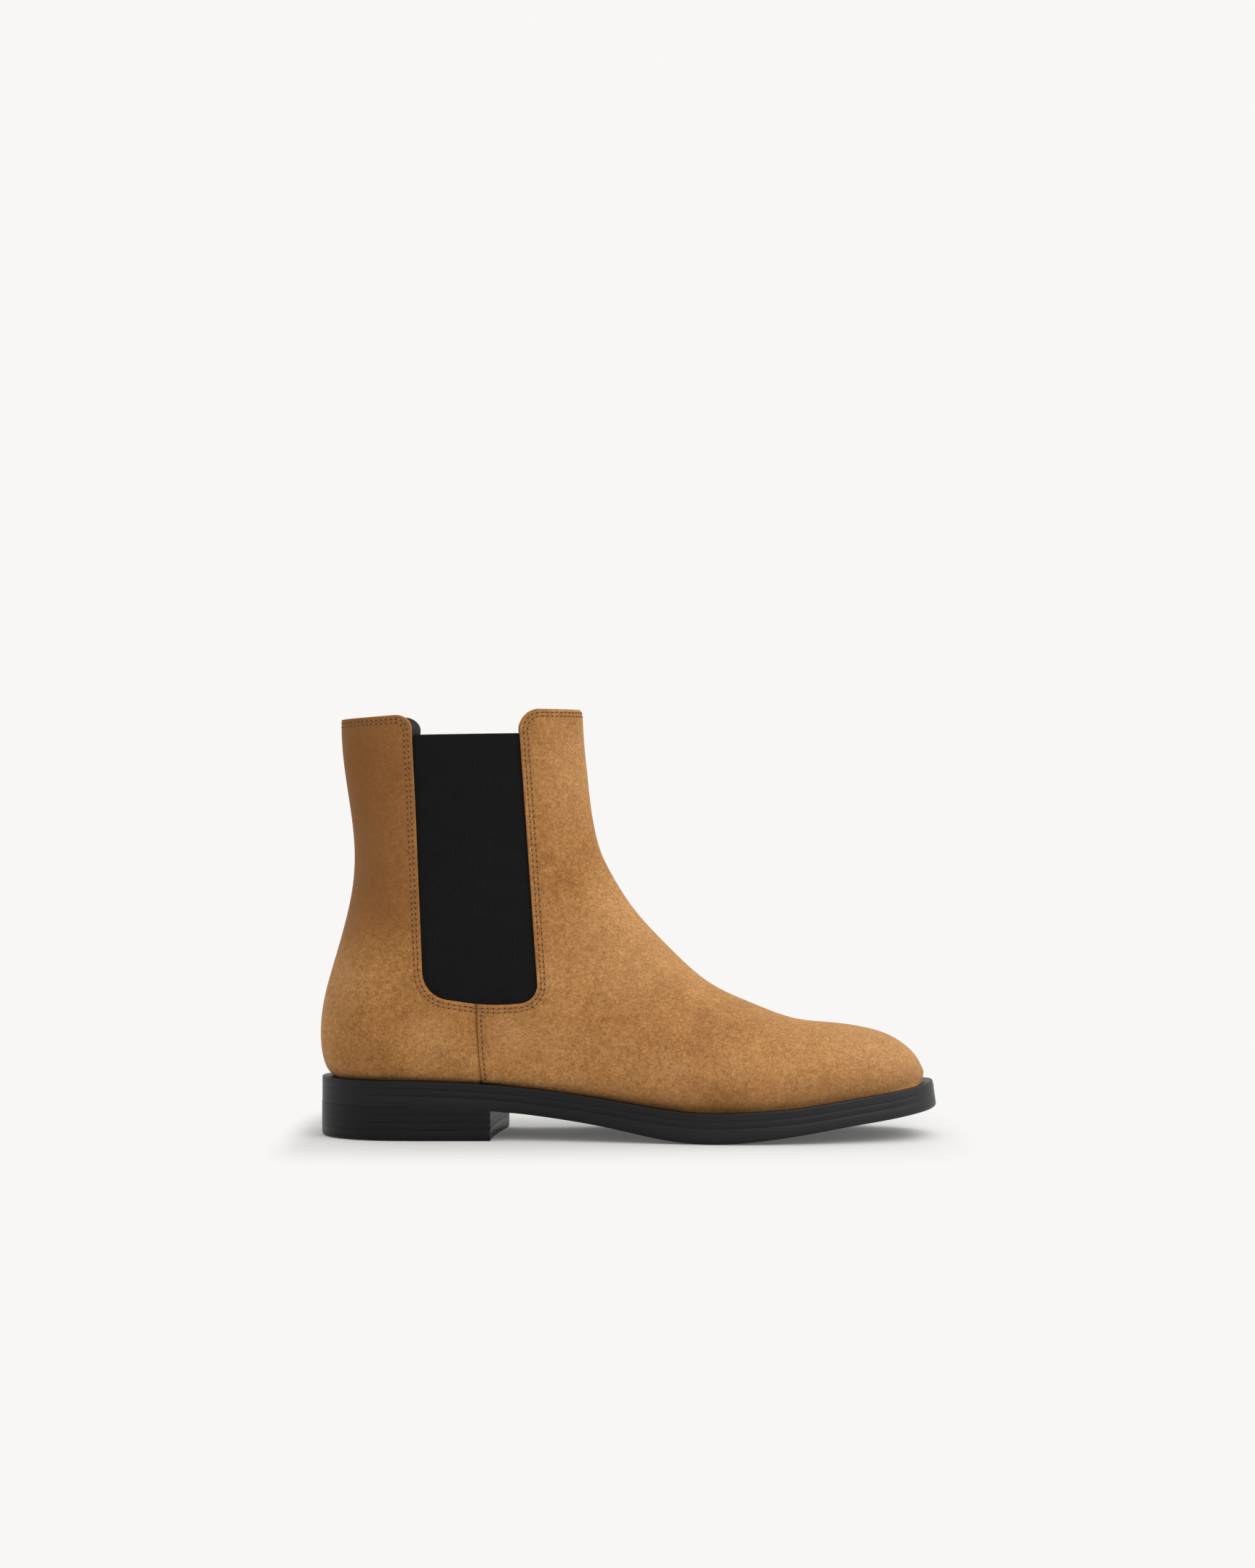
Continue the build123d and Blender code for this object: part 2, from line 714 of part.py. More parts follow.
with BuildPart() as outsole:
    extrude(fore_plan.sketch, amount=shaft_height)
    with BuildSketch(Plane.XZ):
        draw_band(midsole_depth, None)
    extrude(amount=reach, both=True, mode=Mode.INTERSECT)
    lower_rim = outsole.faces().filter_by(underfoot)[0].edges().sort_by(SortBy.LENGTH)[-1]
    fillet(lower_rim, radius=edge_round)
    add(outsole_seat.part)
    add(seat_nail_holes, mode=Mode.SUBTRACT)
finish(outsole, "outsole")

# ---- Heel ---------------------------------------------------------------------------------------

top_piece_nail_length = top_piece_thickness + 2 * lift_thickness - top_piece_nail_cover

with BuildPart() as top_piece_nails:
    with BuildSketch():
        with Locations(*heel_nail_places(top_piece_nail_inset)):
            Circle(nail_head_radius)
    extrude(amount=nail_head_thickness)
    with BuildSketch():
        with Locations(*heel_nail_places(top_piece_nail_inset)):
            Circle(nail_radius)
    extrude(amount=top_piece_nail_length)
finish(top_piece_nails, "top_piece_nails")

with BuildPart() as top_piece:
    extrude(heel_plan.sketch, amount=top_piece_thickness)
    rim = top_piece.faces().sort_by(Axis.Z)[0].edges().sort_by(SortBy.LENGTH)[-1]
    fillet(rim, radius=top_piece_round)
    add(top_piece_nails.part, mode=Mode.SUBTRACT)
finish(top_piece, "top_piece")

with BuildPart() as heel_lift_3:
    with BuildSketch(Plane.XY.offset(top_piece_thickness)):
        add(heel_plan.sketch_local)
    extrude(amount=lift_thickness)
    add(top_piece_nails.part, mode=Mode.SUBTRACT)
finish(heel_lift_3, "heel_lift_3")

with BuildPart() as heel_lift_2:
    with BuildSketch(Plane.XY.offset(top_piece_thickness + lift_thickness)):
        add(heel_plan.sketch_local)
    extrude(amount=lift_thickness)
    add(top_piece_nails.part, mode=Mode.SUBTRACT)
finish(heel_lift_2, "heel_lift_2")

# The top lift is a wedge that fills the pitch of the sole
with BuildPart() as heel_lift_1:
    with BuildSketch(Plane.XY.offset(top_piece_thickness + 2 * lift_thickness)):
        add(heel_plan.sketch_local)
    extrude(amount=heel_height)
    with BuildSketch(Plane.XZ):
        draw_band(None, heel_height + stack + over)
    extrude(amount=reach, both=True, mode=Mode.INTERSECT)
    add(seat_nail_holes, mode=Mode.SUBTRACT)
finish(heel_lift_1, "heel_lift_1")
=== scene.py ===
"""Looks of a right-foot chelsea boot: tan suede, elastic gores and a blacked, welted sole.

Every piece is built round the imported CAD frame, in metres.  Stations run forward from the back
edge of the sole and heights up from the floor, both in millimetres; the outer side of the boot
is towards -Y.
"""

from __future__ import annotations

import json
import logging
import math
from dataclasses import dataclass, field
from enum import Enum
from typing import Callable, ClassVar, Sequence

import bmesh
import bpy
import numpy as np
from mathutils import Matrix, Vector
from mathutils.bvhtree import BVHTree

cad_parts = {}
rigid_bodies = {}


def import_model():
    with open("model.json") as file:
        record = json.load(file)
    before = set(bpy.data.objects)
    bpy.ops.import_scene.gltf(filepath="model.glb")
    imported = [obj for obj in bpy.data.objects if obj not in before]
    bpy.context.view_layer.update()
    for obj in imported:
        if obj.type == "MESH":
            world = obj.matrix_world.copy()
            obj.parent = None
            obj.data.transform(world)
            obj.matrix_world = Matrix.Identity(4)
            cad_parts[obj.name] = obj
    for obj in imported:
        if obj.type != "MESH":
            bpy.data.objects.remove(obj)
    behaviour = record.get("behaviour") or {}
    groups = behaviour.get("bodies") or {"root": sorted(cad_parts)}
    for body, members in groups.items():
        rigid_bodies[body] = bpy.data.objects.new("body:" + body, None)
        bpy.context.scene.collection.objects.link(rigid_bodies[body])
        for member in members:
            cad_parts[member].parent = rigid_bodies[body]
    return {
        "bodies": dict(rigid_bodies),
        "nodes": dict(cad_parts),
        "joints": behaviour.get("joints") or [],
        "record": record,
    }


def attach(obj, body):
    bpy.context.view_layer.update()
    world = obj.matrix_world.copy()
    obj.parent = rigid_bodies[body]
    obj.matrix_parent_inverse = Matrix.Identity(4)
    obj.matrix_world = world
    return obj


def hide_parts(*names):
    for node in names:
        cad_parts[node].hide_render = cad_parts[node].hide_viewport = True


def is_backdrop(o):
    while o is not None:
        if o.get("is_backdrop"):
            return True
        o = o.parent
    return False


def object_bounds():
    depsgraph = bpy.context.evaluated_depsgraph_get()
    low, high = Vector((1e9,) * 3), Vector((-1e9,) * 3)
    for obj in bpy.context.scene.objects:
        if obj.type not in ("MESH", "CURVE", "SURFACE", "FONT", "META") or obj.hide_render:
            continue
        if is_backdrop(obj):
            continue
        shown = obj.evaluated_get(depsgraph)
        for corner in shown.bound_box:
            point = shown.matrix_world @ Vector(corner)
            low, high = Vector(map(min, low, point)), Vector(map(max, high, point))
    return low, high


LOG = logging.getLogger("boot")
MM = 0.001
BODY = "root"
SUEDE_THICKNESS = 1.4
BACKING_THICKNESS = 1.4
LINING_THICKNESS = 1.0
SHORTEST_LINE = 8


class Side(Enum):
    """The two sides of the boot, by the sign of Y."""

    LATERAL = -1
    MEDIAL = 1


# ---- Shader building -----------------------------------------------------------------------------


def srgb(red: float, green: float, blue: float) -> tuple[float, float, float, float]:
    """A display colour of 0 to 255 as linear light.

    Args:
        red, green, blue: the display colour's channels.

    Returns:
        The linear colour with full alpha.
    """
    def channel(value: float) -> float:
        """One channel in linear light."""
        share = value / 255
        return share / 12.92 if share <= 0.04045 else ((share + 0.055) / 1.055) ** 2.4

    return channel(red), channel(green), channel(blue), 1.0


@dataclass(frozen=True)
class Wire:
    """What leaves one socket of a shader tree; arithmetic on it adds Math nodes."""

    shade: "Shade"
    socket: bpy.types.NodeSocket

    def __add__(self, other: "Value") -> "Wire":
        """Sum."""
        return self.shade.maths("ADD", self, other)

    __radd__ = __add__

    def __mul__(self, other: "Value") -> "Wire":
        """Product."""
        return self.shade.maths("MULTIPLY", self, other)

    __rmul__ = __mul__

    def __sub__(self, other: "Value") -> "Wire":
        """Difference."""
        return self.shade.maths("SUBTRACT", self, other)

    def __rsub__(self, other: "Value") -> "Wire":
        """Difference with the number first."""
        return self.shade.maths("SUBTRACT", other, self)

    def __pow__(self, other: "Value") -> "Wire":
        """Power."""
        return self.shade.maths("POWER", self, other)


Value = Wire | float | Sequence[float]


class Shade:
    """One material and the nodes that are being added to it."""

    def __init__(self, name: str) -> None:
        """Starts an empty material of that name."""
        self.material = bpy.data.materials.new(name)
        self.material.use_nodes = True
        self.tree = self.material.node_tree
        self.tree.nodes.clear()

    def node(self, kind: str, settings: dict | None = None, **sockets: Value) -> bpy.types.Node:
        """Adds any node.

        Args:
            kind: the node's type, without the leading ShaderNode.
            settings: attributes of the node, set before its sockets.
            sockets: a value or a wire for each socket, named with _ for a space or i0, i1 by place.

        Returns:
            The node.
        """
        node = self.tree.nodes.new(f"ShaderNode{kind}")
        for key, setting in (settings or {}).items():
            setattr(node, key, setting)
        for key, value in sockets.items():
            socket = self._socket(node, key)
            if isinstance(value, Wire):
                self.tree.links.new(value.socket, socket)
            else:
                socket.default_value = value
        return node

    @staticmethod
    def _socket(node: bpy.types.Node, key: str) -> bpy.types.NodeSocket:
        """The input socket that a keyword names.

        Args:
            node: the node.
            key: the socket's name with _ for a space, or i and its place.

        Returns:
            The socket.
        """
        if key[0] == "i" and key[1:].isdigit():
            return node.inputs[int(key[1:])]
        return node.inputs[key.replace("_", " ")]

    def out(self, node: bpy.types.Node, name: str | int = 0) -> Wire:
        """The wire that leaves a node's output."""
        return Wire(self, node.outputs[name])

    def maths(self, operation: str, a: Value, b: Value = 0.0, clamp: bool = False) -> Wire:
        """One Math node."""
        node = self.node("Math", {"operation": operation, "use_clamp": clamp}, i0=a, i1=b)
        return self.out(node)

    def ramp(self, value: Wire, low: float, high: float) -> Wire:
        """Where a value lies between two limits, from 0 to 1 and smooth at both ends.

        Args:
            value: the value.
            low, high: the limits.

        Returns:
            The smooth share.
        """
        node = self.node("MapRange", {"interpolation_type": "SMOOTHSTEP"},
                         Value=value, From_Min=low, From_Max=high)
        return self.out(node)

    def mix(self, share: Value, a: Value, b: Value, mode: str = "MIX") -> Wire:
        """Two colours mixed by a share.

        Args:
            share: how much of the second colour, from 0 to 1.
            a, b: the two colours.
            mode: the Mix node's blend type.

        Returns:
            The mixed colour.
        """
        node = self.node("Mix", {"data_type": "RGBA", "blend_type": mode}, i0=share, i6=a, i7=b)
        return self.out(node, 2)

    def place(self) -> Wire:
        """The object's own coordinates, in metres."""
        return self.out(self.node("TexCoord"), "Object")

    def axes(self, vector: Wire) -> tuple[Wire, Wire, Wire]:
        """The three numbers of a vector."""
        node = self.node("SeparateXYZ", None, i0=vector)
        return self.out(node, 0), self.out(node, 1), self.out(node, 2)

    def stretched(self, vector: Wire, scale: Sequence[float]) -> Wire:
        """Coordinates scaled along each axis."""
        return self.out(self.node("Mapping", None, Vector=vector, Scale=scale))

    def noise(self, vector: Wire, size: float, detail: float = 3.0, rough: float = 0.5,
              warp: float = 0.0) -> Wire:
        """Cloudy noise around 0.5.

        Args:
            vector: the coordinates, in metres.
            size: the size of a cloud, in metres.
            detail: how many finer layers it has.
            rough: how strong the finer layers are.
            warp: how far the clouds are pulled about.

        Returns:
            The noise.
        """
        node = self.node("TexNoise", None, Vector=vector, Scale=1 / size, Detail=detail,
                         Roughness=rough, Distortion=warp)
        return self.out(node, 0)

    def bump(self, height: Wire, distance: float, strength: float = 1.0) -> Wire:
        """A normal for a relief whose full height is a distance in metres."""
        node = self.node("Bump", None, Height=height, Distance=distance, Strength=strength)
        return self.out(node)

    def surface(self, **sockets: Value) -> bpy.types.Material:
        """Ends the tree in a Principled surface.

        Args:
            sockets: the Principled node's values and wires.

        Returns:
            The finished material.
        """
        node = self.node("BsdfPrincipled", None, **sockets)
        end = self.tree.nodes.new("ShaderNodeOutputMaterial")
        self.tree.links.new(node.outputs[0], end.inputs[0])
        return self.material


# ---- Finishes ------------------------------------------------------------------------------------


@dataclass(frozen=True)
class Rubbed:
    """A soft patch where the nap lies lighter: its place in metres, its reach and its strength."""

    place: tuple
    reach: float
    strength: float


@dataclass(frozen=True)
class SuedeFinish:
    """Brushed tan suede: a fine nap in soft patches, paler at the toe with painted light, darker
    over the back of the shaft with painted shade, and darker along the sole with painted shade
    and dye.

    Sizes are in metres, and a run is the two places between which something fades in.
    """

    base: tuple = (153, 107, 60)
    light: tuple = (186, 143, 97)
    dark: tuple = (110, 68, 31)
    sheen: tuple = (240, 205, 155)
    cloud_size: float = 0.042
    drift_size: float = 0.013
    tuft_size: float = 0.0030
    nap_size: float = 0.00100
    nap_height: float = 0.00034
    fleck_low: tuple = (0.56, 0.51, 0.46, 1)
    fleck_high: tuple = (1.38, 1.40, 1.42, 1)
    fleck_share: float = 0.66
    # Painted light towards the toe, painted shade over the back of the shaft, and painted shade
    # with dye along the sole:
    painted_toe_light_run: tuple = (0.030, 0.240)
    painted_toe_light: float = 0.22
    painted_back_shade_run: tuple = (-0.050, 0.066)
    painted_shaft_shade_run: tuple = (0.070, 0.120)
    foot_run: tuple = (0.012, 0.030)
    foot_rise: float = 0.06
    foot_painted_shade_and_dye: float = 0.35
    ragged_foot: float = 0.006
    ragged_patch: float = 0.012
    patches: tuple = (
        Rubbed((0.012, -0.034, 0.050), 0.018, 0.22),
        Rubbed((0.050, -0.034, 0.052), 0.016, 0.30),
        Rubbed((0.236, -0.020, 0.045), 0.045, 0.34),
        Rubbed((0.112, -0.020, 0.095), 0.045, 0.32),
        Rubbed((0.088, -0.020, 0.180), 0.040, 0.25),
        Rubbed((0.012, 0.034, 0.050), 0.018, 0.34),
        Rubbed((0.150, 0.030, 0.060), 0.040, 0.35),
    )

    def material(self, name: str = "suede") -> bpy.types.Material:
        """Builds the suede.

        Args:
            name: the material's name.

        Returns:
            The finished material.
        """
        shade = Shade(name)
        place = shade.place()
        x, _, z = shade.axes(place)
        light, dark = srgb(*self.light), srgb(*self.dark)
        clouds = shade.noise(place, self.cloud_size, 2.0, 0.5)
        drifts = shade.noise(place, self.drift_size, 2.0, 0.5, 0.2)
        tufts = shade.noise(place, self.tuft_size, 3.0, 0.6, 0.3)
        nap = shade.noise(place, self.nap_size, 3.0, 0.72, 0.9)
        ragged = tufts - 0.5

        tone = shade.ramp(clouds * 0.5 + drifts * 0.25 + tufts * 0.25, 0.16, 0.56)
        colour = shade.mix(tone, dark, srgb(*self.base))
        paler = shade.ramp(clouds * 0.6 + tufts * 0.4, 0.44, 0.74)
        colour = shade.mix(paler * 0.35, colour, light)
        # Painted light: the suede grows paler towards the toe, where the lamps fall.
        colour = shade.mix(shade.ramp(x, *self.painted_toe_light_run) * self.painted_toe_light, colour, light)
        for patch in self.patches:
            away = shade.out(shade.node("VectorMath", {"operation": "DISTANCE"}, i0=place,
                                        i1=patch.place), "Value")
            worn = 1 - shade.ramp(away + ragged * self.ragged_patch, patch.reach * 0.2, patch.reach)
            colour = shade.mix(worn * patch.strength, colour, light)

        grain = shade.ramp(nap * 0.85 + tufts * 0.15, 0.36, 0.64)
        fleck = shade.mix(grain, self.fleck_low, self.fleck_high)
        colour = shade.mix(self.fleck_share, colour, fleck, "MULTIPLY")
        # Painted shade: the back of the shaft is darkened towards the dark colour, more so higher
        # up.
        behind = 1 - shade.ramp(x, *self.painted_back_shade_run)
        colour = shade.mix(behind * shade.ramp(z, *self.painted_shaft_shade_run), colour, dark)
        # Darker towards the sole: partly painted shade where the upper meets the welt, partly a
        # darker dye.
        height = z + (0 - x) * self.foot_rise + ragged * self.ragged_foot
        foot = 1 - shade.ramp(height, *self.foot_run)
        colour = shade.mix(foot * self.foot_painted_shade_and_dye, colour, dark)
        relief = nap * 0.9 + tufts * 0.5 + drifts * 0.3
        return shade.surface(
            Base_Color=colour, Roughness=0.94 - grain * 0.06, Sheen_Weight=0.22,
            Sheen_Roughness=0.5, Sheen_Tint=srgb(*self.sheen), Specular_IOR_Level=0.12,
            Normal=shade.bump(relief, self.nap_height, 1.0))


@dataclass(frozen=True)
class CutEdgeFinish:
    """The pale raw edge of cut suede."""

    low: tuple = (138, 90, 46)
    high: tuple = (176, 124, 72)
    fibre_size: float = 0.0005
    fibre_height: float = 0.0002

    def material(self) -> bpy.types.Material:
        """Builds the raw edge.

        Returns:
            The finished material.
        """
        shade = Shade("suede_cut_edge")
        fibres = shade.noise(shade.place(), self.fibre_size, 3.0, 0.7)
        colour = shade.mix(shade.ramp(fibres, 0.3, 0.7), srgb(*self.low), srgb(*self.high))
        return shade.surface(Base_Color=colour, Roughness=0.95, Specular_IOR_Level=0.15,
                             Normal=shade.bump(fibres, self.fibre_height))


@dataclass(frozen=True)
class ElasticFinish:
    """Black woven elastic: upright ribs crossed by a fine weft."""

    rib_pitch: float = 0.8
    weft_pitch: float = 0.62
    low: tuple = (5, 5, 5)
    high: tuple = (27, 26, 26)
    worn: tuple = (6, 6, 7)
    wear_size: float = 0.012
    yarn_size: float = 0.0006
    relief: float = 0.00014

    def material(self) -> bpy.types.Material:
        """Builds the elastic; its UV map is in millimetres.

        Returns:
            The finished material.
        """
        shade = Shade("black_elastic")
        across, up, _ = shade.axes(shade.out(shade.node("UVMap", {"uv_map": "weave"})))
        turn = 2 * math.pi
        ribs = shade.maths("SINE", across * (turn / self.rib_pitch)) * 0.5 + 0.5
        weft = shade.maths("SINE", up * (turn / self.weft_pitch)) * 0.5 + 0.5
        place = shade.place()
        wear = shade.noise(place, self.wear_size, 3.0)
        yarn = shade.noise(shade.stretched(place, (1.0, 1.0, 0.18)), self.yarn_size, 2.0)
        # The ribs' and the weft's crests are painted lighter: painted highlight on the weave, over
        # the yarn's own mottle.
        light = ribs * 0.35 + weft * 0.25 + yarn * 0.4
        colour = shade.mix(shade.ramp(light, 0.25, 0.85), srgb(*self.low), srgb(*self.high))
        colour = shade.mix(wear * 0.35, colour, srgb(*self.worn))
        return shade.surface(
            Base_Color=colour, Roughness=0.74 + yarn * 0.16, Specular_IOR_Level=0.10,
            Sheen_Weight=0.02, Sheen_Roughness=0.5,
            Normal=shade.bump(ribs * 0.5 + weft * 0.5 + yarn * 0.3, self.relief))


@dataclass(frozen=True)
class LiningFinish:
    """Smooth black lining leather with a fine pore."""

    low: tuple = (20, 19, 19)
    high: tuple = (33, 31, 30)
    pores_per_metre: float = 900.0
    crease_size: float = 0.02
    relief: float = 0.0002

    def material(self) -> bpy.types.Material:
        """Builds the lining leather.

        Returns:
            The finished material.
        """
        shade = Shade("black_lining")
        place = shade.place()
        cells = shade.node("TexVoronoi", None, Vector=place, Scale=self.pores_per_metre)
        pores = shade.out(cells, "Distance")
        creases = shade.noise(place, self.crease_size, 4.0)
        colour = shade.mix(creases, srgb(*self.low), srgb(*self.high))
        return shade.surface(Base_Color=colour, Roughness=0.46 + creases * 0.2,
                             Specular_IOR_Level=0.25,
                             Normal=shade.bump(pores * 0.6 + creases * 0.8, self.relief))


@dataclass(frozen=True)
class EdgeFinish:
    """Blacked, waxed and burnished leather edge with brush marks that run round the sole."""

    name: str = "black_edge"
    low: tuple = (6, 6, 7)
    high: tuple = (16, 16, 18)
    # Colour of the painted light on the edge towards the toe.
    toe: tuple = (40, 39, 41)
    gloss: float = 0.36
    coat: float = 0.08
    mark_size: float = 0.00055
    streak_size: float = 0.0022
    wear_size: float = 0.016
    painted_edge_light_run: tuple = (0.08, 0.26)
    relief: float = 0.00010

    def material(self) -> bpy.types.Material:
        """Builds the burnished edge.

        Returns:
            The finished material.
        """
        shade = Shade(self.name)
        place = shade.place()
        x, _, _ = shade.axes(place)
        marks = shade.noise(shade.stretched(place, (0.03, 0.03, 1.0)), self.mark_size, 3.0, 0.6)
        streaks = shade.noise(shade.stretched(place, (0.06, 0.06, 1.0)), self.streak_size, 4.0,
                              0.6)
        wear = shade.noise(place, self.wear_size, 4.0, 0.6)
        tone = shade.ramp(marks * 0.5 + streaks * 0.5, 0.3, 0.7)
        colour = shade.mix(tone * 0.7 + wear * 0.3, srgb(*self.low), srgb(*self.high))
        # Painted light: the edge grows paler towards the toe, in patches that follow the wear
        # noise.
        ahead = shade.ramp(x, *self.painted_edge_light_run)
        colour = shade.mix(ahead * (0.45 + wear * 0.4), colour, srgb(*self.toe))
        rough = self.gloss + marks * 0.12 + wear * 0.1
        return shade.surface(
            Base_Color=colour, Roughness=rough, Coat_Weight=self.coat, Coat_Roughness=0.3,
            Specular_IOR_Level=0.17,
            Normal=shade.bump(marks * 0.7 + streaks * 0.6, self.relief, 0.6))


@dataclass(frozen=True)
class PlainFinish:
    """A mottled, lightly grained finish for the pieces that stay out of sight."""

    name: str
    low: tuple
    high: tuple
    grain: float = 0.003
    rough: float = 0.7
    metal: float = 0.0
    relief: float = 0.0001

    def material(self) -> bpy.types.Material:
        """Builds the finish.

        Returns:
            The finished material.
        """
        shade = Shade(self.name)
        place = shade.place()
        cloud = shade.noise(place, self.grain * 5, 3.0)
        fine = shade.noise(place, self.grain, 4.0, 0.6)
        colour = shade.mix(shade.ramp(cloud * 0.5 + fine * 0.5, 0.3, 0.7),
                           srgb(*self.low), srgb(*self.high))
        return shade.surface(Base_Color=colour, Roughness=self.rough - fine * 0.1,
                             Metallic=self.metal, Normal=shade.bump(fine, self.relief))


class Finishes:
    """Every material of the boot, built once."""

    def __init__(self) -> None:
        """Builds the materials."""
        self.suede = SuedeFinish().material()
        self.cut_edge = CutEdgeFinish().material()
        self.elastic = ElasticFinish().material()
        self.lining = LiningFinish().material()
        self.sole_edge = EdgeFinish().material()
        # The heel's edge is a darker copy of the sole's edge: painted shade.
        self.heel_edge_painted_shade = EdgeFinish("heel_edge_painted_shade", (4, 4, 5), (11, 11, 12), gloss=0.34,
                                    coat=0.04).material()
        self.heel_rubber = EdgeFinish("heel_rubber", (4, 4, 4), (9, 9, 10), gloss=0.30,
                                      coat=0.04).material()
        self.thread = PlainFinish("tan_thread", (112, 72, 34), (146, 98, 52), 0.0004,
                                  0.8).material()
        self.gold_thread = PlainFinish("gold_thread", (190, 140, 78), (224, 178, 112), 0.0004,
                                       0.7).material()
        # Dark brown marks that paint the shade in the needle holes.
        self.needle_hole_shade = PlainFinish("needle_hole_shade", (48, 26, 10), (66, 38, 16), 0.0006,
                                       0.95).material()
        self.backing = PlainFinish("cotton_backing", (176, 164, 140), (206, 196, 176)).material()
        self.stiffener = PlainFinish("leatherboard", (142, 114, 84), (168, 138, 104)).material()
        self.insole = PlainFinish("insole_leather", (168, 132, 94), (192, 158, 118)).material()
        self.cork = PlainFinish("granulated_cork", (96, 62, 36), (150, 108, 70), 0.0015,
                                0.9).material()
        self.steel = PlainFinish("spring_steel", (150, 152, 155), (182, 184, 187), 0.001, 0.35,
                                 1.0).material()
        self.brass = PlainFinish("brass", (176, 140, 78), (212, 176, 108), 0.0006, 0.35,
                                 1.0).material()


# ---- Measuring the frame -------------------------------------------------------------------------


def merged_nodes(frame: dict, names: Sequence[str]) -> tuple[np.ndarray, list, list]:
    """Vertices and triangles of several CAD nodes together.

    Args:
        names: the nodes.

    Returns:
        The vertices, the triangles, and the place in names that each triangle comes from.
    """
    points, faces, owners, start = [], [], [], 0
    for index, name in enumerate(names):
        mesh = frame["nodes"][name].data
        mesh.calc_loop_triangles()
        places = np.empty(len(mesh.vertices) * 3)
        mesh.vertices.foreach_get("co", places)
        points.append(places.reshape(-1, 3))
        faces += [tuple(start + v for v in t.vertices) for t in mesh.loop_triangles]
        owners += [index] * len(mesh.loop_triangles)
        start += len(mesh.vertices)
    return np.concatenate(points), faces, owners


class Frame:
    """The CAD frame and the measures taken from it."""

    FEATHER_STEPS: ClassVar[int] = 90
    FEATHER_REACH: ClassVar[float] = 2.5

    def __init__(self) -> None:
        """Loads the frame."""
        self.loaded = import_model()
        low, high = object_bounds()
        self.box = [list(low), list(high)]
        self.back = low[0]
        self.feather = self._feather_line()

    def _feather_line(self) -> tuple[np.ndarray, np.ndarray]:
        """The welt's top edge from the side: stations and heights in millimetres.

        Returns:
            The stations and the heights.
        """
        points, _, _ = merged_nodes(self.loaded, ["welt"])
        station = (points[:, 0] - self.back) / MM
        height = points[:, 2] / MM
        bins = np.linspace(station.min(), station.max(), self.FEATHER_STEPS)
        picked = [(x, height[np.abs(station - x) < self.FEATHER_REACH]) for x in bins]
        rows = [(x, heights.max()) for x, heights in picked if len(heights)]
        return np.array([r[0] for r in rows]), np.array([r[1] for r in rows])

    def feather_height(self, station: np.ndarray) -> np.ndarray:
        """Height of the welt's top at a station, in millimetres."""
        return np.interp(station, *self.feather)

    def node(self, name: str) -> bpy.types.Object:
        """A CAD node's object."""
        return self.loaded["nodes"][name]


def smoothstep(value: np.ndarray, low: float, high: float) -> np.ndarray:
    """Rises smoothly from 0 at low to 1 at high."""
    share = np.clip((value - low) / (high - low), 0.0, 1.0)
    return share * share * (3 - 2 * share)


def ridge(value: np.ndarray, place: float, width: float) -> np.ndarray:
    """Swells to 1 at a place and dies away on both sides over a width."""
    return np.exp(-((value - place) / width) ** 2)


def rounded_path(corners: Sequence[tuple[float, float]], radii: Sequence[float]) -> np.ndarray:
    """An open line with its inner corners rounded.

    Args:
        corners: its corners, ends included.
        radii: the radius at each inner corner.

    Returns:
        Its points, about a millimetre apart along the rounds.
    """
    points = [np.array(corners[0], float)]
    for before, corner, after, radius in zip(corners, corners[1:], corners[2:], radii):
        here = np.array(corner, float)
        back = np.array(before, float) - here
        on = np.array(after, float) - here
        back /= np.linalg.norm(back)
        on /= np.linalg.norm(on)
        half = math.acos(float(np.clip(back @ on, -1, 1))) / 2
        run = radius / math.tan(half)
        middle = (back + on) / np.linalg.norm(back + on) * radius / math.sin(half) + here
        start, end = here + back * run - middle, here + on * run - middle
        steps = max(int(radius * (math.pi - 2 * half)), 4)
        angle = math.acos(float(np.clip(start @ end / radius ** 2, -1, 1)))
        for step in range(steps + 1):
            share = step / steps
            weight = math.sin((1 - share) * angle), math.sin(share * angle)
            points.append(middle + (start * weight[0] + end * weight[1]) / math.sin(angle))
    points.append(np.array(corners[-1], float))
    return np.array(points)


def distance_to(path: np.ndarray, x: np.ndarray, z: np.ndarray) -> np.ndarray:
    """Distance of points from an open line of straight steps.

    Args:
        path: the line.
        x, z: the points.

    Returns:
        Each point's distance.
    """
    best = np.full(x.shape, 1e9)
    for (x0, z0), (x1, z1) in zip(path[:-1], path[1:]):
        run, rise = x1 - x0, z1 - z0
        share = ((x - x0) * run + (z - z0) * rise) / max(run * run + rise * rise, 1e-12)
        share = np.clip(share, 0, 1)
        best = np.minimum(best, (x - x0 - share * run) ** 2 + (z - z0 - share * rise) ** 2)
    return np.sqrt(best)


def inside(path: np.ndarray, x: np.ndarray, z: np.ndarray) -> np.ndarray:
    """Which points lie inside a closed line.

    Args:
        path: the line.
        x, z: the points.

    Returns:
        True where a point is inside.
    """
    found = np.zeros(x.shape, bool)
    for (x0, z0), (x1, z1) in zip(path, np.roll(path, -1, axis=0)):
        if z0 != z1:
            crosses = ((z0 > z) != (z1 > z)) & (x < (x1 - x0) * (z - z0) / (z1 - z0) + x0)
            found ^= crosses
    return found


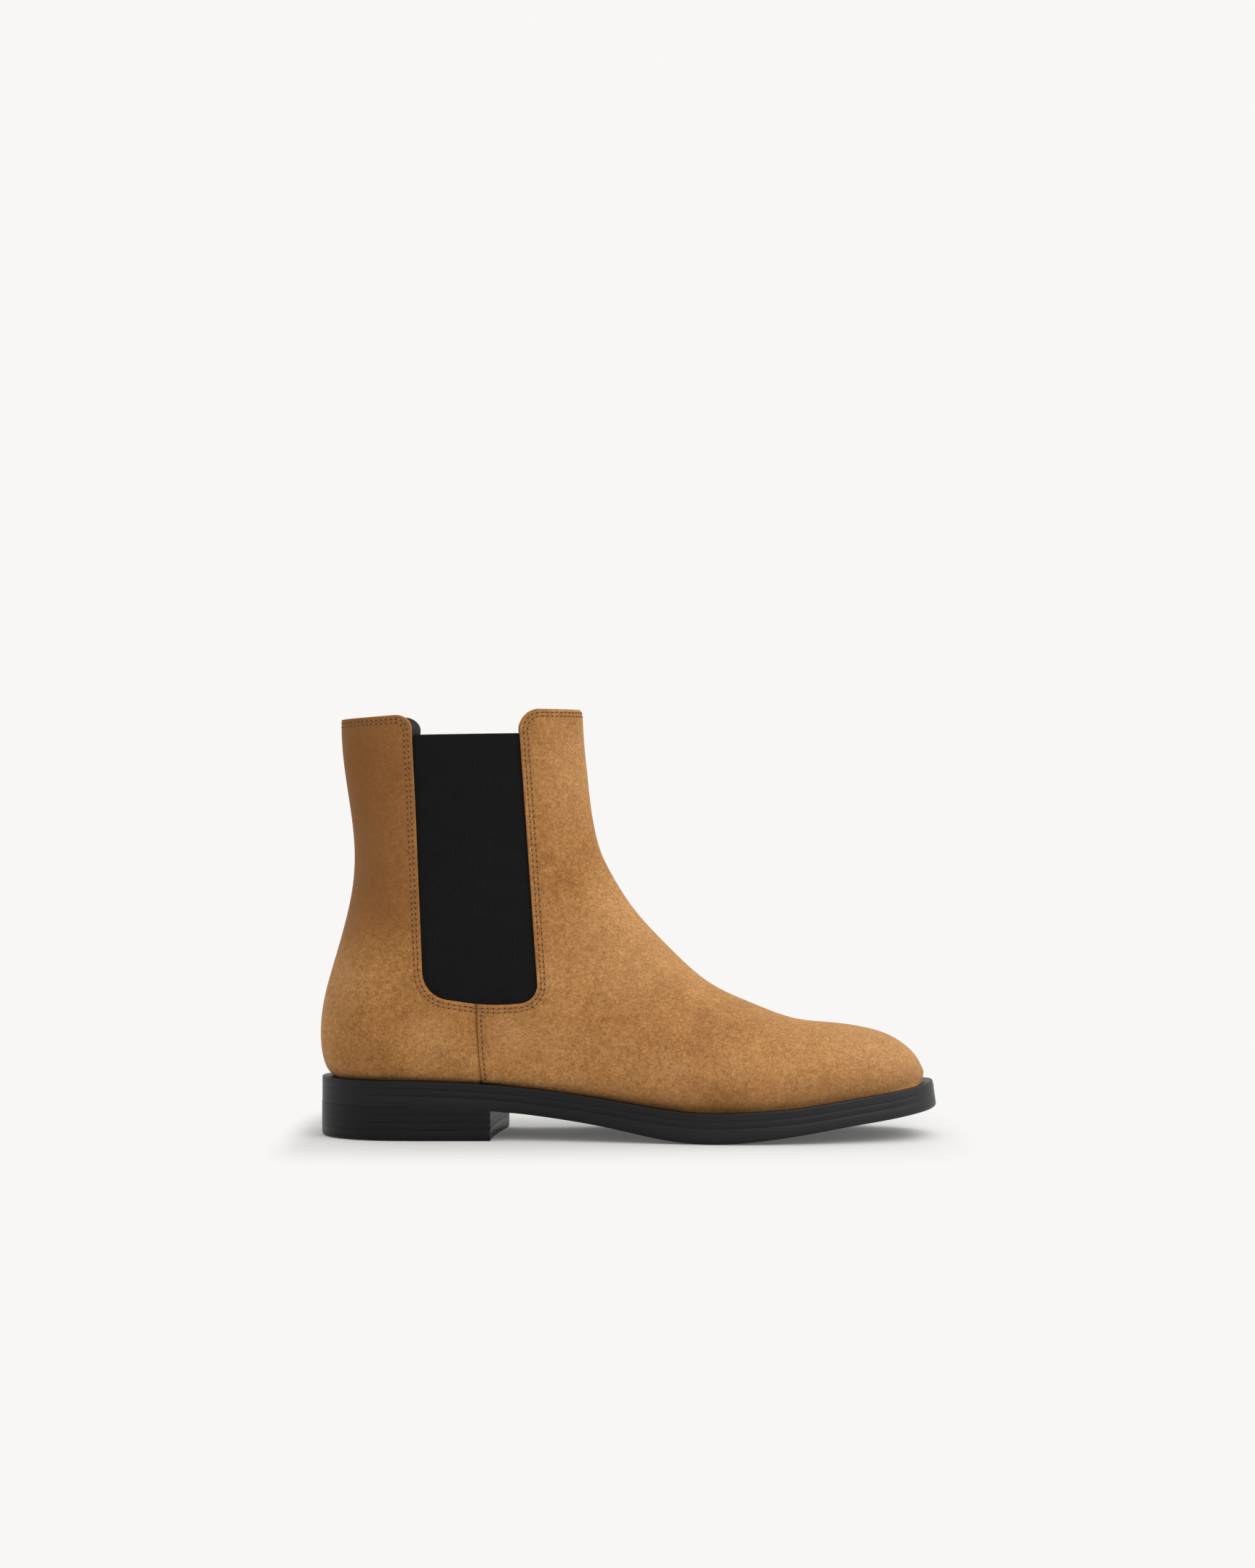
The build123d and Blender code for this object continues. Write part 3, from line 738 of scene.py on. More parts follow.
@dataclass(frozen=True)
class Pattern:
    """The cut lines of the upper, seen from the side, in stations and heights."""

    shaft_back: float = 9.5
    shaft_height: float = 208.4
    back_tab_width: float = 35.7
    back_tab_drop: float = 5.2
    back_tab_rise: float = 2.2
    gore_width_top: float = 51.9
    gore_width_floor: float = 55.6
    gore_lean: float = 6.9
    gore_floor: float = 64.6
    gore_low_point: float = 33.0
    gore_back_corner: float = 4.9
    gore_front_corner: float = 2.4
    gore_rounds: tuple = (7.5, 14.0, 100.0, 9.0, 10.0)
    gore_drop_front: float = 11.4
    gore_drop_back: float = 13.4
    shaft_depth: float = 118.4
    slant_height: float = 220.4
    seam_station: float = 78.1
    seam_lean: float = 7.0
    reach: float = 420.0

    def rim(self) -> np.ndarray:
        """The top line with the gore opening in it, from far behind to far in front.

        Returns:
            The line's points.
        """
        back = self.shaft_back + self.back_tab_width
        corner = back + self.gore_lean
        low_back = self.gore_floor + self.gore_back_corner
        low_front = self.gore_floor + self.gore_front_corner
        tab = self.shaft_height - self.back_tab_drop
        slope = self.back_tab_rise / self.back_tab_width
        share = (self.slant_height - tab - self.back_tab_rise) / (self.slant_height - low_back)
        back_tab = (back + self.gore_lean * share, tab + self.back_tab_rise)
        lean = self.gore_lean + self.gore_width_floor - self.gore_width_top
        share = (self.slant_height - self.shaft_height) / (self.slant_height - low_front)
        front_tab = (back + self.gore_width_top + lean * share, self.shaft_height)
        corners = [
            (-self.reach, tab - slope * (self.reach + self.shaft_back)),
            back_tab,
            (corner, low_back),
            (corner + self.gore_low_point, self.gore_floor),
            (corner + self.gore_width_floor, low_front),
            front_tab,
            (self.reach, self.shaft_height),
        ]
        return rounded_path(corners, self.gore_rounds)

    def below_rim(self, x: np.ndarray, z: np.ndarray) -> np.ndarray:
        """Distance from the rim, positive on the leather's side.

        Args:
            x, z: stations and heights.

        Returns:
            The distances.
        """
        rim = self.rim()
        around = np.concatenate([rim, [(self.reach, -self.reach), (-self.reach, -self.reach)]])
        sign = np.where(inside(around, x, z), 1.0, -1.0)
        return sign * distance_to(rim, x, z)

    def seam(self, z: np.ndarray) -> np.ndarray:
        """Station of the side seam at a height.

        Args:
            z: heights.

        Returns:
            The seam's stations.
        """
        top = self.gore_floor + self.gore_back_corner
        radius = (self.seam_lean ** 2 + top ** 2) / (2 * self.seam_lean)
        drop = np.clip(top - z, 0, None)
        return self.seam_station + radius - np.sqrt(radius ** 2 - drop ** 2)

    def gore_edges(self, z: np.ndarray) -> tuple[np.ndarray, np.ndarray]:
        """Stations of the opening's back and front edges at a height.

        Args:
            z: heights.

        Returns:
            The back edge's and the front edge's stations.
        """
        back = self.shaft_back + self.back_tab_width
        low_back = self.gore_floor + self.gore_back_corner
        low_front = self.gore_floor + self.gore_front_corner
        lean = self.gore_lean + self.gore_width_floor - self.gore_width_top
        share_back = (self.slant_height - z) / (self.slant_height - low_back)
        share_front = (self.slant_height - z) / (self.slant_height - low_front)
        return back + self.gore_lean * share_back, back + self.gore_width_top + lean * share_front

    def gore_top(self, x: np.ndarray) -> np.ndarray:
        """Height of the gore's own top edge at a station.

        Args:
            x: stations.

        Returns:
            The heights.
        """
        drop = self.gore_drop_back - self.gore_drop_front
        share = (x - self.shaft_back) / self.shaft_depth
        return self.shaft_height - self.gore_drop_back + drop * share


# ---- The last's surface --------------------------------------------------------------------------


def softened(values: np.ndarray, passes: int) -> np.ndarray:
    """Rings and columns smoothed with their neighbours; columns run round.

    Args:
        values: a value or a place for each ring and column.
        passes: how many times.

    Returns:
        The smoothed values.
    """
    for _ in range(passes):
        padded = np.concatenate([values[:1], values, values[-1:]])
        values = values * 0.5 + (padded[:-2] + padded[2:]) * 0.25
        values = values * 0.5 + (np.roll(values, 1, 1) + np.roll(values, -1, 1)) * 0.25
    return values


@dataclass
class LastSurface:
    """The upper's outer face as one even grid of rings, felt out on the CAD surface.

    The rings lie in planes that fan out from under the toe's tip: along the foot they stand
    almost upright, and they lie level at the top of the shaft.
    """

    rings: int = 300
    columns: int = 300
    feelers: int = 480
    least_felt: int = 60
    skirt: int = 14
    skirt_step: float = 0.7
    skirt_centre: float = 268.0
    skirt_floor: float = 0.2
    feeler_reach: float = 0.25
    least_facing: float = 0.45
    least_seen: int = 8
    fill_passes: int = 400
    ease_window: int = 13
    lower: tuple = ((291, 16.5), (281, 10), (262, 6), (225, 4), (180, 5), (140, 9), (105, 13),
                    (70, 16), (38, 18), (14, 22), (2, 38), (2, 75), (12, 118), (14, 160),
                    (9.5, 200), (9.5, 226))
    upper: tuple = ((296.5, 24.8), (295, 31.5), (284, 46), (243, 56), (203, 68), (171, 91),
                    (153, 110), (143, 126), (138, 137), (135, 146), (132, 157), (131, 170),
                    (129.4, 184), (128.4, 197), (127.9, 212), (127.8, 226))
    middle: float = 0.46
    points: np.ndarray = field(init=False)
    normals: np.ndarray = field(init=False)

    def build(self, frame: Frame) -> None:
        """Feels out the surface.

        Args:
            frame: the CAD frame.
        """
        low, high = self._ends(self.lower), self._ends(self.upper)
        centre = low + (high - low) * self.middle
        along = (high - low) / np.linalg.norm(high - low, axis=1)[:, None]
        turns = np.arange(self.feelers) * 2 * math.pi / self.feelers
        out_x = np.cos(turns)[None, :] * along[:, :1]
        out_z = np.cos(turns)[None, :] * along[:, 1:]
        out_y = np.broadcast_to(-np.sin(turns), out_x.shape)
        outward = np.stack([out_x, out_y, out_z], axis=2)
        middle = np.stack([centre[:, 0] * MM + frame.back, centre[:, 0] * 0,
                           centre[:, 1] * MM], axis=1)
        names = ["vamp", "back_quarter", "gore_lateral", "gore_medial"]
        points, faces, owners = merged_nodes(frame.loaded, names)
        tree = BVHTree.FromPolygons(points.tolist(), faces)
        radius = self._felt(tree, owners, middle, outward)
        first = int(np.argmax((~np.isnan(radius)).sum(axis=1) > self.least_felt))
        middle, outward = middle[first:], outward[first:]
        radius = softened(self._filled(radius[first:]), 3)
        rings = middle[:, None, :] + outward * radius[:, :, None]
        rings = np.concatenate([self._skirt(frame, tree, rings[0]), rings])
        self.points = self._even(rings)
        self.points = softened(self.points, 2)
        self.normals = self.normals_of(self.points)

    def _ends(self, ends: Sequence[tuple[float, float]]) -> np.ndarray:
        """One end of every ring, spread evenly between the given ones.

        Args:
            ends: the given ends, as stations and heights.

        Returns:
            One end for each ring.
        """
        lower, upper = np.array(self.lower, float), np.array(self.upper, float)
        middle = lower * 0.4 + upper * 0.6
        run = np.concatenate([[0], np.cumsum(np.linalg.norm(np.diff(middle, axis=0), axis=1))])
        places = np.linspace(0, run[-1], self.rings)
        given = np.array(ends, float)
        line = np.stack([np.interp(places, run, given[:, i]) for i in (0, 1)], axis=1)
        kernel = np.hanning(2 * self.ease_window + 1)
        kernel /= kernel.sum()
        padded = np.pad(line, ((self.ease_window, self.ease_window), (0, 0)), "reflect",
                        reflect_type="odd")
        return np.stack([np.convolve(padded[:, i], kernel, "valid") for i in (0, 1)], axis=1)

    def _skirt(self, frame: Frame, tree: BVHTree, ring: np.ndarray) -> np.ndarray:
        """Rows that lead the first ring down the toe's tip to below the welt's top.

        Args:
            frame: the CAD frame.
            tree: the CAD surface.
            ring: the first ring's points.

        Returns:
            The rows, the lowest first.
        """
        centre, reach = frame.back + self.skirt_centre * MM, 0.1
        rows = []
        for step in range(self.skirt, 0, -1):
            row = ring.copy()
            row[:, 2] -= step * self.skirt_step * MM
            for point in row:
                floor = float(frame.feather_height((point[0] - frame.back) / MM)) * MM
                level = max(point[2], floor + self.skirt_floor * MM)
                way = Vector((point[0] - centre, point[1], 0)).normalized()
                start = Vector((centre, 0, level)) + way * reach
                hit, *_ = tree.ray_cast(start, -way, reach)
                if hit is not None:
                    point[:2] = hit.x, hit.y
            rows.append(row)
        return np.array(rows)

    def _felt(self, tree: BVHTree, owners: Sequence[int], middle: np.ndarray,
              outward: np.ndarray) -> np.ndarray:
        """How far out the CAD surface lies, or nothing where a feeler meets no wall.

        Args:
            tree: the CAD surface.
            owners: which node each of its triangles comes from.
            middle: each ring's centre.
            outward: each feeler's direction.

        Returns:
            The distance for each ring and feeler.
        """
        reach, nearest = self.feeler_reach, 2 * MM
        radius = np.full(outward.shape[:2], np.nan)
        for ring in range(outward.shape[0]):
            centre = Vector(middle[ring])
            for column in range(outward.shape[1]):
                way = Vector(outward[ring, column])
                hit, normal, face, far = tree.ray_cast(centre + way * reach, -way,
                                                       reach - nearest)
                if hit is None:
                    continue
                facing = normal.dot(way)
                if facing < self.least_facing:
                    continue
                sunk = SUEDE_THICKNESS * MM / facing if owners[face] >= 2 else 0.0
                radius[ring, column] = reach - far + sunk
        return radius

    def _filled(self, radius: np.ndarray) -> np.ndarray:
        """The radii with every gap filled in smoothly from its rim.

        Args:
            radius: the radii, with nothing in the gaps.

        Returns:
            The radii without gaps.
        """
        known = ~np.isnan(radius)
        filled = radius.copy()
        usual = np.nanmean(radius)
        rings, around = radius.shape
        half, columns = rings // 2, np.arange(around)
        for ring in [*range(half, rings), *range(half - 1, -1, -1)]:
            seen = known[ring]
            if seen.sum() > self.least_seen:
                filled[ring] = np.interp(columns, columns[seen], radius[ring, seen],
                                         period=around)
            elif ring > half:
                filled[ring] = filled[ring - 1]
            else:
                filled[ring] = filled[min(ring + 1, rings - 1)]
        filled = np.where(np.isnan(filled), usual, filled)
        for _ in range(self.fill_passes):
            padded = np.concatenate([filled[:1], filled, filled[-1:]])
            mean = (padded[:-2] + padded[2:] + np.roll(filled, 1, 1) + np.roll(filled, -1, 1)) / 4
            filled = np.where(known, filled, mean)
        return filled

    def _even(self, rings: np.ndarray) -> np.ndarray:
        """Rings with their points set evenly apart.

        Args:
            rings: the rings.

        Returns:
            Each ring with the wanted number of points.
        """
        result = np.empty((len(rings), self.columns, 3))
        places = np.arange(self.columns) / self.columns
        for index, ring in enumerate(rings):
            closed = np.concatenate([ring, ring[:1]])
            run = np.concatenate([[0], np.cumsum(np.linalg.norm(np.diff(closed, axis=0), axis=1))])
            for axis in range(3):
                result[index, :, axis] = np.interp(places * run[-1], run, closed[:, axis])
        return result

    @staticmethod
    def normals_of(points: np.ndarray) -> np.ndarray:
        """Outward normals of a grid of rings.

        Args:
            points: the grid.

        Returns:
            A normal at each point.
        """
        around = np.roll(points, -1, 1) - np.roll(points, 1, 1)
        up = np.gradient(points, axis=0)
        normal = np.cross(around, up)
        normal /= np.linalg.norm(normal, axis=2)[:, :, None] + 1e-12
        outward = points - points.mean(axis=1, keepdims=True)
        return normal if (normal * outward).sum() > 0 else -normal


@dataclass
class Cut:
    """A mesh that is being cut to its outline, with numbers carried at each vertex."""

    points: list
    data: list
    faces: list

    def keep(self, value: Callable[[np.ndarray], float]) -> None:
        """Cuts away everything where a value is negative.

        Args:
            value: gives the value at a vertex from its carried numbers.
        """
        levels = [value(row) for row in self.data]
        made: dict[tuple[int, int], int] = {}
        kept = []
        for face in self.faces:
            signs = [levels[v] > 0 for v in face]
            if all(signs):
                kept.append(face)
            elif any(signs):
                kept.append(self._trimmed(face, levels, made))
        self.faces = [face for face in kept if len(face) > 2]

    def _trimmed(self, face: tuple, levels: list, made: dict) -> tuple:
        """One face, cut where the value is nought.

        Args:
            face: its corners.
            levels: the value at every vertex.
            made: the vertices made so far, by the edge that they lie on.

        Returns:
            The corners of what is kept.
        """
        result = []
        for here, there in zip(face, face[1:] + face[:1]):
            if levels[here] > 0:
                result.append(here)
            if (levels[here] > 0) != (levels[there] > 0):
                key = (min(here, there), max(here, there))
                if key not in made:
                    a, b = key
                    share = levels[a] / (levels[a] - levels[b])
                    self.points.append(self.points[a] * (1 - share) + self.points[b] * share)
                    self.data.append(self.data[a] * (1 - share) + self.data[b] * share)
                    made[key] = len(self.points) - 1
                    levels.append(0.0)
                result.append(made[key])
        return tuple(result)


# ---- Mesh making ---------------------------------------------------------------------------------


def mesh_object(name: str, points: Sequence, faces: Sequence, materials: Sequence,
                slots: Sequence[int] | None = None, weld: float = 0.0) -> bpy.types.Object:
    """A smooth mesh object in the scene.

    Args:
        name: the piece's name.
        points: its vertices.
        faces: its faces.
        materials: its materials.
        slots: which material each face has.
        weld: vertices nearer than this are made one.

    Returns:
        The object.
    """
    mesh = bpy.data.meshes.new(name)
    mesh.from_pydata([tuple(p) for p in points], [], [tuple(f) for f in faces])
    for material in materials:
        mesh.materials.append(material)
    if slots is not None:
        mesh.polygons.foreach_set("material_index", list(slots))
    if weld:
        work = bmesh.new()
        work.from_mesh(mesh)
        bmesh.ops.remove_doubles(work, verts=work.verts, dist=weld)
        bmesh.ops.dissolve_degenerate(work, edges=work.edges, dist=weld)
        work.to_mesh(mesh)
        work.free()
    mesh.polygons.foreach_set("use_smooth", [True] * len(mesh.polygons))
    mesh.update()
    piece = bpy.data.objects.new(name, mesh)
    bpy.context.scene.collection.objects.link(piece)
    return piece


def finish_piece(piece: bpy.types.Object, slot: str, *nodes: str) -> None:
    """Rides a piece on the boot and hides the CAD nodes that it stands for.

    Args:
        piece: the piece.
        slot: the record's slot; not used.
        nodes: the CAD nodes.
    """
    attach(piece, BODY)
    if nodes:
        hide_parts(*nodes)
    LOG.info("%s: %d faces", piece.name, len(piece.data.polygons))


def thickened(cut: Cut, thickness: float, bulge: float) -> tuple[list, list, list]:
    """Gives a cut surface its thickness, with edges that swell out a little.

    Args:
        cut: the surface; the last three of its carried numbers are its normal.
        thickness: how thick it becomes, inwards, in metres.
        bulge: how far its cut edges swell, in metres.

    Returns:
        Vertices, faces, and 1 for each face of the cut edge, 0 for the others.
    """
    used = sorted({v for face in cut.faces for v in face})
    new = {v: i for i, v in enumerate(used)}
    faces = [tuple(new[v] for v in face) for face in cut.faces]
    points = np.array([cut.points[v] for v in used])
    normals = np.array([cut.data[v][-3:] for v in used])
    normals /= np.linalg.norm(normals, axis=1)[:, None]
    count = len(points)
    directed = {}
    for face in faces:
        for here, there in zip(face, face[1:] + face[:1]):
            directed[(here, there)] = True
    rim = [edge for edge in directed if (edge[1], edge[0]) not in directed]
    outward = {}
    for here, there in rim:
        way = np.cross(points[there] - points[here], normals[here])
        way /= np.linalg.norm(way) + 1e-12
        for v in (here, there):
            outward[v] = outward.get(v, 0) + way
    middle = {}
    extra = []
    for v, way in outward.items():
        way = way / (np.linalg.norm(way) + 1e-12)
        middle[v] = 2 * count + len(extra)
        extra.append(points[v] - normals[v] * thickness * 0.5 + way * bulge)
    inner = points - normals * thickness
    every = np.concatenate([points, inner, np.array(extra).reshape(-1, 3)])
    sides = [tuple(count + v for v in reversed(face)) for face in faces]
    edges = [(there, here, middle[here], middle[there]) for here, there in rim]
    edges += [(middle[there], middle[here], count + here, count + there) for here, there in rim]
    slots = [0] * (2 * len(faces)) + [1] * len(edges)
    return every, faces + sides + edges, slots


@dataclass
class Upper:
    """The upper: two suede panels with their backing and lining, sewn along the seams.

    All sizes are in millimetres.  A run is the two distances between which something fades in.
    """

    RIM: ClassVar[int] = 2
    SEAM: ClassVar[int] = 3
    FOOT: ClassVar[int] = 4

    surface: LastSurface
    pattern: Pattern
    frame: Frame
    row_near: float = 1.7
    row_far: float = 3.6
    groove: float = 0.20
    groove_width: float = 1.5
    roll: float = 0.28
    roll_width: float = 0.7
    wave: float = 0.22
    wave_calm: tuple = (4, 16)
    foot_pinch: float = 0.25
    tuck: float = 1.0
    spare: float = 2.0
    edge_swell: float = 0.18
    seam_row: float = 1.8
    seam_press: float = 0.15
    seam_press_width: float = 0.9
    seam_step: tuple = (-1.8, 0.1)
    seam_play: float = 0.1
    under_lap: float = 6.0
    backing_play: float = 0.25
    backing_slack: float = 0.4
    backing_rim: float = 9.0
    backing_front_gap: float = 8.5
    backing_back_gap: float = 2.5
    puff_edge: float = 238.0
    puff_lean: float = 0.09
    counter_top: float = 76.5
    counter_fall: float = 0.36
    counter_back: float = 8.0
    lining_play: float = 0.05
    lining_rim: float = 0.35
    lining_foot: float = 1.5
    lining_swell: float = 0.1
    lining_rise: tuple = (197.5, 202.0)
    lining_close: tuple = (1.0, 6.0)
    toe_end: float = 290.0
    x: np.ndarray = field(init=False)
    z: np.ndarray = field(init=False)
    rim: np.ndarray = field(init=False)
    seam: np.ndarray = field(init=False)
    foot: np.ndarray = field(init=False)
    suede: np.ndarray = field(init=False)

    def measure(self) -> None:
        """Works out where each point of the last's surface lies on the pattern."""
        self.x = (self.surface.points[:, :, 0] - self.frame.back) / MM
        self.z = self.surface.points[:, :, 2] / MM
        self.rim = self.pattern.below_rim(self.x, self.z)
        self.seam = self.x - self.pattern.seam(self.z)
        self.foot = self.z - self.frame.feather_height(self.x)
        self.suede = self._relief()

    def _relief(self) -> np.ndarray:
        """How far the suede's face stands out of or sinks into the last's surface, in mm.

        Returns:
            The relief at each point.
        """
        between = ridge(self.rim, (self.row_near + self.row_far) / 2, self.groove_width)
        rolled = np.exp(-np.clip(self.rim, 0, None) / self.roll_width)
        turn = np.arange(self.surface.columns) * 2 * math.pi / self.surface.columns
        swell = np.sin(self.x / 19 + 2.2 * np.sin(turn)[None, :]) * np.sin(self.z / 15 + 1.3)
        swell += 0.6 * np.sin(self.x / 8.3 + self.z / 11 + 3 * np.cos(turn)[None, :])
        relief = self.wave * swell * smoothstep(self.rim, *self.wave_calm)
        relief = relief - self.groove * between - self.roll * rolled
        return relief - self.foot_pinch * ridge(self.foot, 0.5, 2.2)

    def _cut(self, depth: np.ndarray | float) -> Cut:
        """The whole surface at a depth under the last's face, ready for cutting.

        Each vertex carries its station, height, distance from the rim, from the side seam and
        from the sole, and its normal.

        Args:
            depth: how deep the surface lies, in millimetres.

        Returns:
            The uncut surface.
        """
        surface = self.surface
        points = surface.points - surface.normals * (np.asarray(depth) * MM)[..., None]
        normals = LastSurface.normals_of(points)
        values = np.stack([self.x, self.z, self.rim, self.seam, self.foot], axis=2)
        data = np.concatenate([values, normals], axis=2)
        rings, columns = self.x.shape
        index = np.arange(rings * columns).reshape(rings, columns)
        right = np.roll(index, -1, 1)
        corners = np.stack([index[:-1], right[:-1], right[1:], index[1:]], axis=2).reshape(-1, 4)
        near_foot = self.foot.ravel()[corners].max(1) > -self.spare
        near_rim = self.rim.ravel()[corners].max(1) > -self.spare
        corners = corners[near_foot & near_rim]
        flat = points.reshape(-1, 3)
        a, b, c = (flat[corners[:, i]] for i in range(3))
        facing = (np.cross(b - a, c - a) * normals.reshape(-1, 3)[corners[:, 0]]).sum()
        if facing < 0:
            corners = corners[:, ::-1]
        rows = data.reshape(-1, data.shape[2])
        return Cut(list(flat), list(rows), [tuple(face) for face in corners.tolist()])

    def _piece(self, name: str, cut: Cut, thickness: float, bulge: float,
               materials: Sequence) -> bpy.types.Object:
        """One panel as a closed mesh.

        Args:
            name: the piece's name.
            cut: its surface.
            thickness, bulge: in millimetres, as for thickened.
            materials: those of the faces and of the cut edge.

        Returns:
            The panel's object.
        """
        points, faces, slots = thickened(cut, thickness * MM, bulge * MM)
        return mesh_object(name, points, faces, materials, slots, 0.01 * MM)

    def build_vamp(self, finishes: Finishes) -> bpy.types.Object:
        """The front panel, whose cut edge lies over the back panel at the seam.

        Args:
            finishes: the materials.

        Returns:
            The panel's object.
        """
        pressed = self.seam_press * ridge(self.seam, self.seam_row, self.seam_press_width)
        cut = self._cut(pressed - self.suede)
        cut.keep(lambda row: row[self.RIM])
        cut.keep(lambda row: row[self.SEAM])
        cut.keep(lambda row: row[self.FOOT] + self.tuck)
        return self._piece("vamp_suede", cut, SUEDE_THICKNESS, self.edge_swell,
                           [finishes.suede, finishes.cut_edge])

    def build_quarter(self, finishes: Finishes) -> bpy.types.Object:
        """The back panel, which steps in and runs on under the vamp.

        Args:
            finishes: the materials.

        Returns:
            The panel's object.
        """
        step = smoothstep(self.seam, *self.seam_step) * (SUEDE_THICKNESS + self.seam_play)
        cut = self._cut(step - self.suede)
        cut.keep(lambda row: row[self.RIM])
        cut.keep(lambda row: self.under_lap - row[self.SEAM])
        cut.keep(lambda row: row[self.FOOT] + self.tuck)
        return self._piece("back_quarter_suede", cut, SUEDE_THICKNESS, self.edge_swell,
                           [finishes.suede, finishes.cut_edge])

    def build_backing(self, finishes: Finishes, front: bool) -> bpy.types.Object:
        """The cotton layer between suede and lining, clear of the gores and the stiffeners.

        Args:
            finishes: the materials.
            front: true for the vamp's piece.

        Returns:
            The panel's object.
        """
        cut = self._cut(SUEDE_THICKNESS + self.backing_play)
        cut.keep(lambda row: row[self.RIM] - self.backing_rim)
        cut.keep(lambda row: row[self.FOOT])
        if front:
            cut.keep(lambda row: row[self.SEAM] - self.backing_front_gap)
            cut.keep(lambda row: self.puff_edge - self.puff_lean * row[1] - row[0])
        else:
            cut.keep(lambda row: -self.backing_back_gap - row[self.SEAM])
            cut.keep(self._above_counter)
        name = "vamp_backing" if front else "back_quarter_backing"
        return self._piece(name, cut, BACKING_THICKNESS - self.backing_slack, 0.0,
                           [finishes.backing] * 2)

    def _above_counter(self, row: np.ndarray) -> float:
        """Height above the heel counter's sloping top edge."""
        ahead = max(row[0] - self.counter_back, 0.0)
        return row[1] - self.counter_top + self.counter_fall * ahead

    def build_lining(self, finishes: Finishes, front: bool) -> bpy.types.Object:
        """The lining, which comes out to meet the suede along the top line.

        Args:
            finishes: the materials.
            front: true for the vamp's piece.

        Returns:
            The panel's object.
        """
        under = SUEDE_THICKNESS + BACKING_THICKNESS
        closing = 1 - smoothstep(self.rim, *self.lining_close)
        closing = closing * smoothstep(self.z, *self.lining_rise)
        play, sign = self.lining_play, 1 if front else -1
        cut = self._cut(under + play - closing * (BACKING_THICKNESS - play) - self.suede * closing)
        cut.keep(lambda row: row[self.RIM] - self.lining_rim)
        cut.keep(lambda row: sign * row[self.SEAM])
        cut.keep(lambda row: row[self.FOOT] + self.lining_foot)
        cut.keep(lambda row: self.toe_end - row[0])
        name = "vamp_lining_leather" if front else "back_quarter_lining_leather"
        return self._piece(name, cut, LINING_THICKNESS - self.lining_swell, self.lining_swell,
                           [finishes.lining] * 2)

    def rows(self) -> dict[str, list]:
        """The lines that the stitches follow, each with its points and their normals.

        Returns:
            The lines, by the name of the row.
        """
        normals = self.surface.normals
        points = self.surface.points + normals * (self.suede * MM)[..., None]
        shown = self.foot > 0.5
        near = contours(points, normals, self.rim - self.row_near, shown)
        far = contours(points, normals, self.rim - self.row_far, shown)
        below = (self.foot > 1.2) & (self.rim > self.row_far + 0.8)
        seam = contours(points, normals, self.seam - self.seam_row, below)
        return {"rim_near": near, "rim_far": far, "side_seam": seam}


def contours(points: np.ndarray, normals: np.ndarray, level: np.ndarray,
             shown: np.ndarray) -> list[tuple[np.ndarray, np.ndarray]]:
    """Lines on the grid where a value is nought.

    Args:
        points, normals: the grid.
        level: the value at each of its points.
        shown: where lines are wanted.

    Returns:
        Each line's points and normals, in order.
    """
    columns = level.shape[1]
    crossing: dict[tuple, tuple] = {}
    near: dict[tuple, list] = {}
    corners = np.stack([level[:-1], np.roll(level, -1, 1)[:-1],
                        np.roll(level, -1, 1)[1:], level[1:]], axis=2)
    cells = np.argwhere((corners.min(2) < 0) & (corners.max(2) >= 0) & shown[:-1])
    for ring, column in cells:
        beside = (column + 1) % columns
        around = [(ring, column), (ring, beside), (ring + 1, beside), (ring + 1, column)]
        keys = []
        for here, there in zip(around, around[1:] + around[:1]):
            a, b = level[here], level[there]
            if (a < 0) != (b < 0):
                key = tuple(sorted((here, there)))
                share = a / (a - b)
                if here != key[0]:
                    share = 1 - share
                first, second = key
                crossing[key] = (points[first] * (1 - share) + points[second] * share,
                                 normals[first] * (1 - share) + normals[second] * share)
                keys.append(key)
        if len(keys) == 2:
            near.setdefault(keys[0], []).append(keys[1])
            near.setdefault(keys[1], []).append(keys[0])
    lines = []
    left = set(near)
    while left:
        ends = [key for key in left if len(near[key]) == 1]
        start = min(ends) if ends else min(left, key=lambda key: crossing[key][0][0])
        line, here = [start], start
        left.discard(start)
        while True:
            onward = [key for key in near[here] if key in left]
            if not onward:
                break
            here = onward[0]
            left.discard(here)
            line.append(here)
        if len(line) > SHORTEST_LINE:
            if not ends:
                line.append(start)
            lines.append((np.array([crossing[key][0] for key in line]),
                          np.array([crossing[key][1] for key in line])))
    return lines


# ---- Stitches ------------------------------------------------------------------------------------


